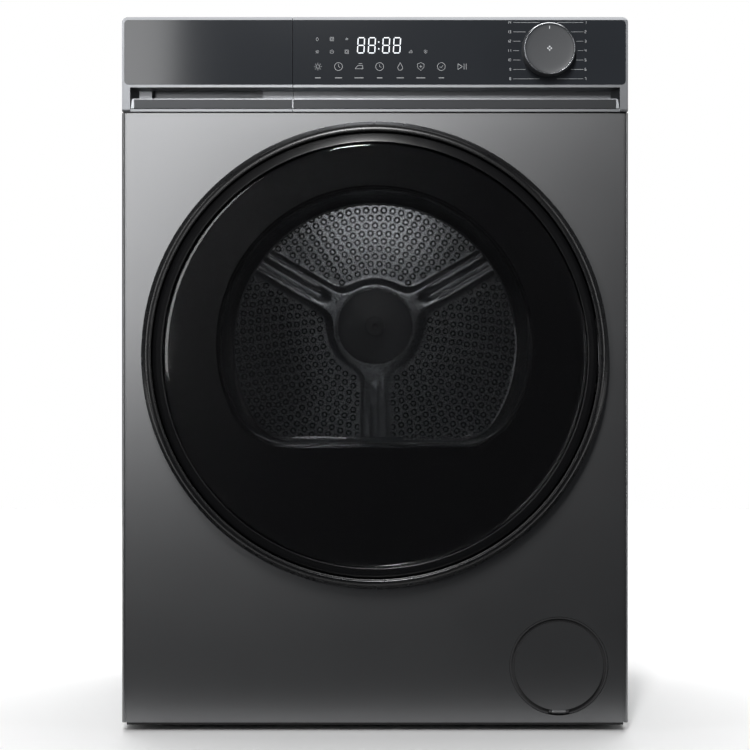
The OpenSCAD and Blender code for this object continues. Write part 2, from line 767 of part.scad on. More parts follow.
module rear_bulkhead() {
    t = 1.5;
    color("#85898d") difference() {
        union() {
            along_y(rear_frame_y, rear_frame_y + t)
                translate([-half_w + 4, base_z + base_h])
                    square([body_w - 8, top_z - rim_h - base_h - base_z - 8]);
            bar_y(0, drum_z, 34, rear_frame_y - 4, rear_frame_y + 18);
            for (s = [-1, 1]) block([s * (half_w - 5) - 1, rear_frame_y, base_z + base_h],
                [s * (half_w - 5) + 1, rear_frame_y + 14, top_z - rim_h - 8]);
        }
        bar_y(0, drum_z, 25, rear_frame_y - 5, rear_frame_y + 19);
        for (i = [0:17])
            bar_y(165 * cos(i * 20), drum_z + 165 * sin(i * 20), 20, rear_frame_y - 1, rear_frame_y + 3);
        bar_y(motor_x, motor_z, 46, rear_frame_y - 1, rear_frame_y + 3);
        bar_y(comp_x, fan_z, fan_r, rear_frame_y - 1, rear_frame_y + 3);
    }
}

module rear_bearing() {
    color("#a9adb0") ring_y(0, drum_z, shaft_r + run_fit, 25, rear_frame_y - 3, rear_frame_y + 15);
}

// One front roller that carries the drum's rim
module support_roller(side) {
    color("#3b3d40") ring_y(side * roller_x, roller_z, axle_r + run_fit, roller_r,
        drum_front + 4, drum_front + 4 + roller_w);
}

module left_support_roller() {
    support_roller(-1);
}

module right_support_roller() {
    support_roller(1);
}

// Outline of the belt's loop round the drum and the motor's pulley, grown by g
module belt_outline(g) {
    big = belt_in + g;
    small = pulley_r + gap + g;
    translate([0, drum_z]) circle(big);
    translate([motor_x, motor_z]) circle(small);
    polygon([for (c = [[0, drum_z, big, -1], [0, drum_z, big, 1], [motor_x, motor_z, small, 1],
        [motor_x, motor_z, small, -1]]) let(a = belt_a0 + c[3] * belt_a1)
        [c[0] + c[2] * cos(a), c[1] + c[2] * sin(a)]]);
}

module drum_belt() {
    color("#141414") difference() {
        along_y(belt_y - belt_w / 2, belt_y + belt_w / 2) belt_outline(belt_t);
        along_y(belt_y - belt_w, belt_y + belt_w) belt_outline(0);
    }
}

module belt_idler() {
    color("#4a4d50") ring_y(idler_x, idler_z, axle_r + run_fit, idler_r, belt_y - 8, belt_y + 8);
}

motor_y0 = belt_y + 40;
motor_y1 = blower_y - 22;
motor_shaft_r = 6;

module motor_body() {
    floor_z = base_z + 4;
    color("#83878b") difference() {
        union() {
            bar_y(motor_x, motor_z, motor_r, motor_y0, motor_y1);
            block([motor_x - 38, motor_y0 + 6, floor_z], [motor_x + 38, motor_y1 - 6, motor_z]);
            block([idler_x - 9, motor_y0, floor_z], [motor_x, motor_y0 + 5, idler_z + 9]);
            bar_y(idler_x, idler_z, axle_r, belt_y - 10, motor_y0 + 1);
        }
        bar_y(motor_x, motor_z, motor_r - 12, motor_y0 + 6, motor_y1 - 6);
        block([motor_x - 34, motor_y0 + 10, floor_z - 1],
            [motor_x + 34, motor_y1 - 10, motor_z - motor_r + 6]);
        bar_y(motor_x, motor_z, motor_shaft_r + run_fit, motor_y0 - 1, motor_y1 + 1);
    }
}

module motor_shaft() {
    color("#a2a5a8") {
        bar_y(motor_x, motor_z, motor_shaft_r, belt_y - 12, blower_y + 48);
        bar_y(motor_x, motor_z, motor_r - 15, motor_y0 + 9, motor_y1 - 9);
        bar_y(motor_x, motor_z, pulley_r, belt_y - 9, belt_y + 9);
        for (y = [belt_y - 9, belt_y + 7]) bar_y(motor_x, motor_z, pulley_r + 4, y, y + 2);
    }
}

module blower_wheel() {
    wheel_r = 78;
    color("#d3d5d6") translate([motor_x, 0, motor_z]) {
        ring_y(0, 0, motor_shaft_r, 14, blower_y + 6, blower_y + 46);
        ring_y(0, 0, 13, wheel_r, blower_y + 44, blower_y + 46);
        ring_y(0, 0, wheel_r - 16, wheel_r, blower_y + 6, blower_y + 8);
        for (i = [0:19]) rotate([0, i * 18, 0])
            block([wheel_r - 18, blower_y + 7, -1], [wheel_r - 2, blower_y + 45, 1]);
    }
}

module blower_housing() {
    outer_r = 90;
    y1 = rear_frame_y - 2;
    color("#26282a") difference() {
        union() {
            bar_y(motor_x, motor_z, outer_r, blower_y, y1);
            block([motor_x - 50, blower_y + 4, base_z + 4], [motor_x + 40, y1 - 4, motor_z - 40]);
        }
        bar_y(motor_x, motor_z, outer_r - 2, blower_y + 2, y1 - 2);
        bar_y(motor_x, motor_z, 50, blower_y - 1, blower_y + 3);
        bar_y(motor_x, motor_z, 46, y1 - 3, y1 + 1);
    }
}

// ---- air and refrigerant circuit ----

// A finned block: thin plates across the air stream with tubes through them
module finned_block(y0, y1) {
    fins = 20;
    step = (exch_x1 - exch_x0 - 2) / (fins - 1);
    rows = 3;
    color("#b7babc") for (i = [0:fins - 1])
        block([exch_x0 + i * step, y0, exch_z], [exch_x0 + i * step + 1, y1, exch_z + exchanger_h]);
    color("#b06a3c") for (i = [0:rows - 1], k = [0.3, 0.7])
        bar_x(y0 + (y1 - y0) * k, exch_z + exchanger_h * (i + 0.5) / rows, 5, exch_x0 - 4, exch_x1 + 4);
}

module evaporator() {
    finned_block(evap_y, evap_y + 90);
}

module condenser() {
    finned_block(cond_y, cond_y + 100);
}

module exchanger_cover() {
    color("#37393c") difference() {
        block([exch_x0 - 8, evap_y - 6, base_z + 4], [exch_x1 + 8, cond_y + 112, exch_z + exchanger_h + 6]);
        block([exch_x0 - 5, evap_y - 3, base_z + 3], [exch_x1 + 5, cond_y + 109, exch_z + exchanger_h + 3]);
        block([exch_x0 + 6, evap_y - 10, 68], [exch_x1 - 6, evap_y, exch_z + exchanger_h - 12]);
        block([exch_x0 + 20, cond_y + 100, 60], [exch_x1 - 20, cond_y + 120, exch_z + exchanger_h - 12]);
        block([exch_x0 - 10, cond_y + 20, 120], [exch_x0, cond_y + 80, exch_z + exchanger_h - 10]);
    }
}

comp_z0 = 30;
comp_h = 150;

module compressor() {
    color("#1b1c1e") difference() {
        union() {
            translate([comp_x, comp_y, comp_z0]) cylinder(r = comp_r, h = comp_h - 20);
            translate([comp_x, comp_y, comp_z0 + comp_h - 20])
                cylinder(r1 = comp_r, r2 = comp_r - 22, h = 20);
            for (a = [45:90:315])
                translate([comp_x + (comp_r + 4) * cos(a), comp_y + (comp_r + 4) * sin(a), base_z + 4])
                cylinder(r = 11, h = 26);
        }
        translate([comp_x, comp_y, comp_z0 + 6]) cylinder(r = comp_r - 7, h = comp_h - 34);
        translate([comp_x, comp_y, comp_z0 + 20]) cylinder(r = 5, h = comp_h);
    }
}

pipe_z = 150;
pipe_r = 4;

// Two copper pipes between the compressor's head and the heat exchangers
module refrigerant_pipes() {
    z = comp_z0 + comp_h + 10;
    color("#b0683a") {
        translate([comp_x, comp_y, comp_z0 + comp_h]) cylinder(r = pipe_r, h = 14);
        bar_y(comp_x, z, pipe_r, cond_y + 40, comp_y + 2);
        translate([comp_x, cond_y + 40, pipe_z]) cylinder(r = pipe_r, h = z - pipe_z + pipe_r);
        bar_x(cond_y + 40, pipe_z, pipe_r, comp_x - pipe_r, exch_x0 - 4.5);
        bar_x(cond_y + 60, pipe_z - 20, pipe_r, comp_x - 20, exch_x0 - 4.5);
        bar_y(comp_x - 20, pipe_z - 20, pipe_r, cond_y + 60,
            comp_y - sqrt(pow(comp_r, 2) - pow(20 - pipe_r, 2)));
    }
}

module condensate_pump() {
    color("#e1dfd6") {
        block([-70, cond_y + 170, base_z + 4], [10, cond_y + 230, 62]);
        translate([-30, cond_y + 200, 61]) cylinder(r = 24, h = 40);
        translate([-50, cond_y + 180, 61]) cylinder(r = 5, h = 55);
    }
}

module fan_housing() {
    half = fan_r + 8;
    color("#1f2123") difference() {
        block([comp_x - half, fan_y, fan_z - half], [comp_x + half, fan_y + 28, fan_z + half]);
        bar_y(comp_x, fan_z, fan_r, fan_y - 1, fan_y + 29);
    }
    color("#1f2123") {
        for (a = [0, 90]) translate([comp_x, 0, fan_z]) rotate([0, a, 0])
            block([-fan_r - 2, fan_y + 25, -3], [fan_r + 2, fan_y + 28, 3]);
        bar_y(comp_x, fan_z, 16, fan_y + 24, fan_y + 28);
        bar_y(comp_x, fan_z, 3, fan_y + 6, fan_y + 25);
        block([comp_x - 30, fan_y + 4, base_z + 4], [comp_x + 30, fan_y + 24, fan_z - fan_r - 6]);
    }
}

module cooling_fan() {
    color("#2a2c2e") difference() {
        union() {
            bar_y(comp_x, fan_z, 15, fan_y + 4, fan_y + 22);
            for (i = [0:6])
                translate([comp_x, fan_y + 13, fan_z]) rotate([0, i * 360 / 7, 0]) rotate([35, 0, 0])
                translate([12, -1, -12]) cube([fan_r - 15, 2, 24]);
        }
        bar_y(comp_x, fan_z, 3 + run_fit, fan_y + 5.5, fan_y + 23);
    }
}

// ---- electrics, service port, feet and small pieces ----

module control_module() {
    color("#3d4043") block([half_w - 125, fascia_back + 40, drum_z + drum_r - 18],
        [half_w - 14, fascia_back + 190, top_z - 34]);
}

module mains_inlet() {
    color("#1d1e20") difference() {
        union() {
            bar_y(mains_x, mains_z, mains_r, rear_y - 22, rear_y - 1);
            bar_y(mains_x, mains_z, mains_r + 6, rear_y - 1, rear_y + 4);
            bar_y(mains_x, mains_z, 9, rear_y + 3, rear_y + 16);
        }
        bar_y(mains_x, mains_z, 4, rear_y - 23, rear_y + 17);
    }
}

module rear_screws() {
    color("#c2c5c8") for (p = rear_screw_places) {
        bar_y(p[0], p[1], screw_r, rear_y - 4, rear_y - 1);
        bar_y(p[0], p[1], 4.5, rear_y - 1, rear_y + 1.2);
    }
}

// The round port in the front: a groove, a blind cylinder, and two lugs with the cover's pin
module service_bezel() {
    back = front_y + 38;
    lug_x = cover_knuckle_w / 2 + gap * 2;
    lug_w = 3;
    color("#2f3235") {
        difference() {
            union() {
                ring_y(cover_x, cover_z, cover_r - 6, cover_r + 5.6, front_y + 5, front_y + 9);
                ring_y(cover_x, cover_z, cover_r + 3.6, cover_r + 5.6, front_y + 1, front_y + 6);
                ring_y(cover_x, cover_z, cover_r - 9, cover_r - 6, front_y + 8, back);
                bar_y(cover_x, cover_z, cover_r - 6, back - 3, back);
            }
            block([cover_x - lug_x - lug_w - 1, front_y - 1, cover_hinge_z - 8],
                [cover_x + lug_x + lug_w + 1, front_y + 6, cover_z - cover_r + 5]);
        }
        for (s = [-1, 1]) {
            x0 = cover_x + s * (lug_x + lug_w / 2) - lug_w / 2;
            bar_x(cover_hinge_y, cover_hinge_z, cover_knuckle_r, x0, x0 + lug_w);
            block([x0, cover_hinge_y, cover_hinge_z - cover_knuckle_r],
                [x0 + lug_w, front_y + 7, cover_hinge_z]);
        }
        bar_x(cover_hinge_y, cover_hinge_z, cover_pin_r, cover_x - lug_x - 1, cover_x + lug_x + 1);
    }
}

// The round cover: a disc with one knuckle below it, in the groove
module service_cover() {
    half = cover_knuckle_w / 2;
    color("#54575b") difference() {
        union() {
            bar_y(cover_x, cover_z, cover_r, front_y, front_y + cover_t);
            bar_x(cover_hinge_y, cover_hinge_z, cover_knuckle_r, cover_x - half, cover_x + half);
            block([cover_x - half, cover_hinge_y - 1.5, cover_hinge_z],
                [cover_x + half, front_y + cover_t, cover_z - cover_r + 4]);
        }
        bar_x(cover_hinge_y, cover_hinge_z, cover_pin_r + run_fit, cover_x - half - 1, cover_x + half + 1);
    }
}

// One levelling foot, screwed fully in
module foot(x, y) {
    color("#2a2b2d") translate([x, foot_mid + y, 0]) union() {
        cylinder(r = foot_r, h = foot_h);
        cylinder(r = stem_r, h = base_h - 6);
    }
}

module front_left_foot() {
    foot(-foot_x, -foot_y);
}

module front_right_foot() {
    foot(foot_x, -foot_y);
}

module rear_left_foot() {
    foot(-foot_x, foot_y);
}

module rear_right_foot() {
    foot(foot_x, foot_y);
}

base_tray();
left_side_panel();
right_side_panel();
rear_panel();
rear_duct_cover();
front_panel();
top_cover();
control_panel();
control_glass();
display_board();
front_bulkhead();
door_seal();
drum_front_seal();
sensor_bars();
lint_duct();
evaporator();
condenser();
exchanger_cover();
compressor();
refrigerant_pipes();
blower_housing();
motor_body();
condensate_pump();
tank_cradle();
drum_belt();
rear_bulkhead();
rear_bearing();
door_lock();
hinge_bracket();
mains_inlet();
belt_idler();
rear_screws();
control_module();
fan_housing();
cooling_fan();
service_bezel();
door_ring();
door_glass();
door_inner_frame();
door_bowl();
door_hook();
drawer_front();
drawer_glass();
water_tank();
program_knob();
drum_shell();
drum_rear_wall();
hub_cap();
drum_lifters();
drum_shaft();
motor_shaft();
blower_wheel();
left_support_roller();
right_support_roller();
lint_filter();
service_cover();
front_left_foot();
front_right_foot();
rear_left_foot();
rear_right_foot();
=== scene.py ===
"""Looks of a front-loading clothes dryer, laid out as an add-on and run as a script.

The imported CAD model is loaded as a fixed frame. Each operator makes one group of pieces,
in metres, in the frame's own axes: +X right, +Z up, the front faces -Y.
"""

import json
import math

import bmesh
import bpy
import numpy as np
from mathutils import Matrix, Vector


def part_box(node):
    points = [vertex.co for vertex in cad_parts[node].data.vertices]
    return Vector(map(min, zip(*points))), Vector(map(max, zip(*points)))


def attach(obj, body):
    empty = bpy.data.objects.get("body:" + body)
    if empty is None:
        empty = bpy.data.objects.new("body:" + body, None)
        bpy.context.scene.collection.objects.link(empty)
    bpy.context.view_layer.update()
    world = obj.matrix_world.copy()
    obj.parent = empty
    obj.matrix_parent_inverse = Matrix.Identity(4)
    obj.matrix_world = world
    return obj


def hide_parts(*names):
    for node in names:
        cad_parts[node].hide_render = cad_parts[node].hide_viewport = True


bl_info = {
    "name": "Clothes dryer",
    "version": (1, 0, 0),
    "blender": (4, 5, 0),
    "location": "View3D > Sidebar > Dryer",
    "description": "Builds the looks of a front-loading clothes dryer on its CAD frame",
    "category": "Object",
}

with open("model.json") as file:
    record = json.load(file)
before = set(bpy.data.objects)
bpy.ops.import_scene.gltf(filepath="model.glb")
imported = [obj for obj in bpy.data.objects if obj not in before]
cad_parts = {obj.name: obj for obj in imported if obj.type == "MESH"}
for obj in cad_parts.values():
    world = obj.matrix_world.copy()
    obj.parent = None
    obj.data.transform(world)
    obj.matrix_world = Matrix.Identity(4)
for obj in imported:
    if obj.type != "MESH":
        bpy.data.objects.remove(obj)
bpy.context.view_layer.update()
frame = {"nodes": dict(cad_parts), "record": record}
MM = 0.001
RECORD = frame["record"]
NODES = frame["nodes"]


def middle(node):
    """The centre of a node's box at rest."""
    low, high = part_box(node)
    return [(a + b) / 2 for a, b in zip(low, high)]


DOOR_X, _, DOOR_Z = middle("door_ring")
DOOR_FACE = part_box("door_ring")[0][1]
DOOR_R = (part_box("door_ring")[1][0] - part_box("door_ring")[0][0]) / 2
PANEL_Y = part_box("front_panel")[0][1]
GLASS_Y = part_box("control_glass")[0][1]
DRUM_X, _, DRUM_Z = middle("drum_shell")
DRUM_R = (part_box("drum_shell")[1][0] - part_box("drum_shell")[0][0]) / 2
WALL_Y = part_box("drum_rear_wall")[1][1]
HUB_R = (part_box("hub_cap")[1][0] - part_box("hub_cap")[0][0]) / 2
KNOB_X, _, KNOB_Z = middle("program_knob")
KNOB_R = (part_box("program_knob")[1][0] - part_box("program_knob")[0][0]) / 2
KNOB_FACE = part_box("program_knob")[0][1]
GLASS_LOW, GLASS_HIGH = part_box("control_glass")


# ---- sizes and colours that a user would change ----

def length(name, text, value):
    """A length property in metres."""
    return bpy.props.FloatProperty(name=name, description=text, default=value, unit="LENGTH")


def colour(name, text, value):
    """A colour property."""
    return bpy.props.FloatVectorProperty(
        name=name, description=text, default=value, size=3, subtype="COLOR", min=0, max=1)


class DryerDoorSizes(bpy.types.PropertyGroup):
    window_r: length("Window radius", "Radius of the clear window in the door", 0.184)
    window_z: length("Window height", "Height of the window's centre", 0.455)
    window_drop: length("Window drop", "From the window's centre to its flat lower edge", 0.121)
    corner_r: length("Window corner", "Corner radius at the flat lower edge", 0.070)
    glass_r: length("Glass radius", "Radius of the door's glass", 0.2468)


class DryerDrumSizes(bpy.types.PropertyGroup):
    hole_pitch: length("Hole pitch", "Distance between the embossed holes", 0.0124)
    hole_r: length("Hole radius", "Radius of an embossed rim", 0.0055)
    spoke_w: length("Spoke width", "Width of a pressed spoke", 0.036)
    spoke_h: length("Spoke height", "How far a spoke stands out of the wall", 0.0115)
    surround_r: length("Hub surround", "Radius of the pressed area round the hub", 0.064)


class DryerColours(bpy.types.PropertyGroup):
    cabinet: colour("Cabinet", "Metallic paint of the panels", (0.197, 0.199, 0.203))
    silver: colour("Fascia", "Satin plastic of the fascia", (0.20, 0.205, 0.215))
    glass: colour("Fascia glass", "Printed back of the fascia's glass", (0.026, 0.029, 0.034))
    black: colour("Door black", "Gloss black of the door's ring", (0.004, 0.004, 0.0045))
    steel: colour("Drum steel", "Stainless sheet of the drum", (0.52, 0.53, 0.54))
    marks: colour("Marks", "Printed marks on the fascia", (0.62, 0.64, 0.66))


# ---- meshes ----

def make_mesh(name, points, faces, material, smooth=True, slots=None):
    """A mesh object at the origin from an array of points and lists of faces."""
    mesh = bpy.data.meshes.new(name)
    mesh.from_pydata(np.asarray(points, float).reshape(-1, 3).tolist(), [], faces)
    mesh.validate()
    mesh.polygons.foreach_set("use_smooth", np.full(len(mesh.polygons), smooth))
    for m in material if isinstance(material, (list, tuple)) else [material]:
        mesh.materials.append(m)
    if slots is not None:
        mesh.polygons.foreach_set("material_index", np.asarray(slots, dtype=np.int32))
    mesh.update()
    piece = bpy.data.objects.new(name, mesh)
    bpy.context.scene.collection.objects.link(piece)
    return piece


def grid_faces(rows, cols, wrap_rows=False, wrap_cols=False, flip=False):
    """Quads of a grid of rows by cols points, closed round either way if asked."""
    i = np.arange(rows if wrap_rows else rows - 1)
    j = np.arange(cols if wrap_cols else cols - 1)
    i, j = (a.ravel() for a in np.meshgrid(i, j, indexing="ij"))
    i1, j1 = (i + 1) % rows, (j + 1) % cols
    quads = np.stack([i * cols + j, i * cols + j1, i1 * cols + j1, i1 * cols + j], axis=1)
    return (quads[:, ::-1] if flip else quads).tolist()


def face_outwards(piece):
    """Merges doubles and turns every face outwards."""
    bm = bmesh.new()
    bm.from_mesh(piece.data)
    bmesh.ops.remove_doubles(bm, verts=bm.verts, dist=1e-6)
    bmesh.ops.recalc_face_normals(bm, faces=bm.faces)
    bm.to_mesh(piece.data)
    bm.free()
    piece.data.update()
    return piece


def rounded(points, radius, steps=5, closed=True):
    """A polygon with each corner replaced by a quadratic curve that starts `radius` before it."""
    p = np.asarray(points, float)
    before, after = np.roll(p, 1, axis=0) - p, np.roll(p, -1, axis=0) - p
    reach = [np.minimum(radius, np.linalg.norm(d, axis=1) * 0.45)[:, None] for d in (before, after)]
    a = p + before / np.linalg.norm(before, axis=1)[:, None] * reach[0]
    b = p + after / np.linalg.norm(after, axis=1)[:, None] * reach[1]
    t = np.linspace(0, 1, steps + 1)[None, :, None]
    curve = (1 - t) ** 2 * a[:, None] + 2 * t * (1 - t) * p[:, None] + t ** 2 * b[:, None]
    if not closed:
        return np.concatenate([p[:1], curve[1:-1].reshape(-1, 2), p[-1:]])
    return curve.reshape(-1, 2)


def turned(name, profile, centre, material, axis="y", steps=256, closed=True):
    """A profile of (radius, place along the axis) turned about an axis through centre.

    Point = centre + radius * (cos a, sin a) across the axis, for a in a full turn.
    An end of an open profile with radius 0 closes in a pole.
    """
    prof = np.asarray(profile, float)
    a = np.linspace(0, 2 * np.pi, steps, endpoint=False)
    r, s = np.broadcast_arrays(prof[:, :1], a[None, :])[0], np.repeat(prof[:, 1:], steps, axis=1)
    u, v = centre[0] + r * np.cos(a), centre[1] + r * np.sin(a)
    points = np.stack([u, s, v] if axis == "y" else [u, v, s], axis=2)
    faces = grid_faces(len(prof), steps, wrap_rows=closed, wrap_cols=True)
    return face_outwards(make_mesh(name, points, faces, material))


def window_outline(sizes, grow=0.0, low=0.0, drop=0.0, n=72):
    """The window's outline: a circle about its centre, cut flat below with round corners.

    grow widens it all round, low lengthens it at the flat edge, drop lowers its centre.
    """
    r, h = sizes.window_r + grow, sizes.window_drop + low
    c = min(sizes.corner_r + grow, h * 0.9)
    side = math.sqrt((r - c) ** 2 - (h - c) ** 2)
    a = math.atan2(c - h, side)
    big = np.linspace(a, np.pi - a, n)
    left = np.linspace(np.pi - a, 1.5 * np.pi, n // 4)[1:]
    right = np.linspace(-0.5 * np.pi, a, n // 4)[:-1]
    parts = [(0, 0, r, big), (-side, c - h, c, left), (side, c - h, c, right)]
    return np.concatenate([np.stack([x + q * np.cos(t), z + q * np.sin(t)], axis=1)
                           for x, z, q, t in parts]) + [0, sizes.window_z - drop]


def clean_outline(outline, count):
    """The same closed outline with `count` points at even steps along it."""
    ring = np.vstack([outline, outline[:1]])
    way = np.concatenate([[0], np.cumsum(np.linalg.norm(np.diff(ring, axis=0), axis=1))])
    at = np.linspace(0, way[-1], count, endpoint=False)
    return np.stack([np.interp(at, way, ring[:, k]) for k in (0, 1)], axis=1)


# ---- materials ----

class Finish:
    """A material with helpers for the nodes that the finishes here share."""

    def __init__(self, name, base, metallic=0.0, roughness=0.5, **sockets):
        self.material = bpy.data.materials.new(name)
        self.material.use_nodes = True
        self.nodes = self.material.node_tree.nodes
        self.links = self.material.node_tree.links
        self.shader = self.nodes["Principled BSDF"]
        self.shader.inputs["Base Color"].default_value = (*base, 1.0)
        self.shader.inputs["Metallic"].default_value = metallic
        self.shader.inputs["Roughness"].default_value = roughness
        for key, value in sockets.items():
            self.shader.inputs[key.replace("_", " ")].default_value = value
        self.base = base
        self.place = self.nodes.new("ShaderNodeTexCoord").outputs["Object"]

    def noise(self, scale, detail=3.0, stretch=None):
        """Noise in Object coordinates, scale in cycles per metre, stretched per axis if asked."""
        node = self.nodes.new("ShaderNodeTexNoise")
        node.inputs["Scale"].default_value = scale
        node.inputs["Detail"].default_value = detail
        source = self.place
        if stretch:
            mapping = self.nodes.new("ShaderNodeMapping")
            mapping.inputs["Scale"].default_value = stretch
            self.links.new(source, mapping.inputs["Vector"])
            source = mapping.outputs["Vector"]
        self.links.new(source, node.inputs["Vector"])
        return node.outputs["Fac"]

    def cells(self, scale):
        """Voronoi cells in Object coordinates."""
        node = self.nodes.new("ShaderNodeTexVoronoi")
        node.inputs["Scale"].default_value = scale
        self.links.new(self.place, node.inputs["Vector"])
        return node.outputs["Distance"]

    def spread(self, value, low, high, socket):
        """Maps a 0..1 value onto low..high and links it to a shader socket."""
        node = self.nodes.new("ShaderNodeMapRange")
        node.inputs["To Min"].default_value = low
        node.inputs["To Max"].default_value = high
        self.links.new(value, node.inputs["Value"])
        self.links.new(node.outputs["Result"], self.shader.inputs[socket])
        return self

    def tint(self, value, dark=0.85, light=1.15):
        """Varies the base colour between a darker and a lighter shade of itself."""
        node = self.nodes.new("ShaderNodeMix")
        node.data_type = "RGBA"
        node.inputs["A"].default_value = (*[c * dark for c in self.base], 1)
        node.inputs["B"].default_value = (*[min(1, c * light) for c in self.base], 1)
        self.links.new(value, node.inputs["Factor"])
        self.links.new(node.outputs["Result"], self.shader.inputs["Base Color"])
        return self

    def bump(self, value, height, strength=1.0):
        """Bump of that height in metres."""
        node = self.nodes.new("ShaderNodeBump")
        node.inputs["Distance"].default_value = height
        node.inputs["Strength"].default_value = strength
        self.links.new(value, node.inputs["Height"])
        self.links.new(node.outputs["Normal"], self.shader.inputs["Normal"])
        return self


def metallic_paint(name, base, roughness=0.285):
    """Flake paint: fine flakes in the colour and an orange-peel surface."""
    f = Finish(name, base, metallic=1.0, roughness=roughness)
    f.tint(f.noise(2600, 2), 0.93, 1.07)
    f.spread(f.noise(9, 4), roughness - 0.01, roughness + 0.02, "Roughness")
    return f.bump(f.noise(420, 2), 0.00002, 0.25).material


def moulded(name, base, roughness=0.5, grain=1400):
    """Moulded plastic with a fine spark-eroded grain and a faint flow in its gloss."""
    f = Finish(name, base, roughness=roughness)
    f.tint(f.noise(14, 3), 0.93, 1.07)
    f.spread(f.noise(60, 4), roughness - 0.06, roughness + 0.07, "Roughness")
    return f.bump(f.noise(grain, 3), 0.00004, 0.35).material


def gloss_black(name, base, roughness=0.12, specular=0.5):
    """Polished or satin black moulding with faint polishing haze."""
    f = Finish(name, base, roughness=roughness, Specular_IOR_Level=specular)
    f.spread(f.noise(35, 5), roughness - 0.02, roughness + 0.05, "Roughness")
    return f.bump(f.noise(900, 1), 0.00001, 0.1).material


def brushed(name, base, stretch, roughness=0.3):
    """Brushed or rolled metal: long fine lines along one axis."""
    f = Finish(name, base, metallic=1.0, roughness=roughness)
    lines = f.noise(900, 4, stretch)
    f.tint(lines, 0.88, 1.08)
    f.spread(lines, roughness - 0.07, roughness + 0.1, "Roughness")
    return f.bump(lines, 0.00002, 0.3).material


def galvanised(name, base):
    """Zinc-coated sheet with its spangle."""
    f = Finish(name, base, metallic=0.9, roughness=0.45)
    spangle = f.cells(110)
    f.tint(spangle, 0.86, 1.12)
    return f.spread(spangle, 0.36, 0.56, "Roughness").material


def rubbery(name, base):
    """Matt rubber with dust in its pores."""
    f = Finish(name, base, roughness=0.75)
    f.tint(f.noise(50, 4), 0.85, 1.3)
    return f.bump(f.noise(2200, 2), 0.00005, 0.5).material


def felted(name, base):
    """Pressed felt: tangled fibres."""
    f = Finish(name, base, roughness=0.95, Sheen_Weight=0.4)
    f.tint(f.noise(900, 5, (1, 6, 1)), 0.8, 1.1)
    return f.bump(f.noise(1300, 5), 0.0003, 0.7).material


def finned(name, base):
    """Aluminium fin stock with a faint roll pattern."""
    f = Finish(name, base, metallic=1.0, roughness=0.35)
    f.tint(f.noise(300, 3, (1, 1, 12)), 0.85, 1.05)
    return f.material


def clear_glass(name, base, roughness=0.02, weight=1.0, ior=1.46):
    """Clear or smoked see-through material with faint moulding haze."""
    f = Finish(name, base, roughness=roughness, Transmission_Weight=weight, IOR=ior)
    f.spread(f.noise(12, 2), roughness, roughness + 0.02, "Roughness")
    return f.material


def printed_glass(name, base):
    """Glass with a dark print behind it: a deep colour under a smooth coat."""
    f = Finish(name, base, roughness=0.10)
    f.tint(f.noise(1900, 2), 0.94, 1.06)
    return f.bump(f.noise(6, 1), 0.00002, 0.05).material


def lit_mark(name, base, glow):
    """Printed or lit mark with an emission glow; on printed marks the glow is painted light, on the
    display it is the display's own light.
    """
    f = Finish(name, base, roughness=0.5, Emission_Strength=glow)
    f.shader.inputs["Emission Color"].default_value = (*base, 1)
    return f.tint(f.noise(700, 2), 0.95, 1.02).material


FINISHES = {}


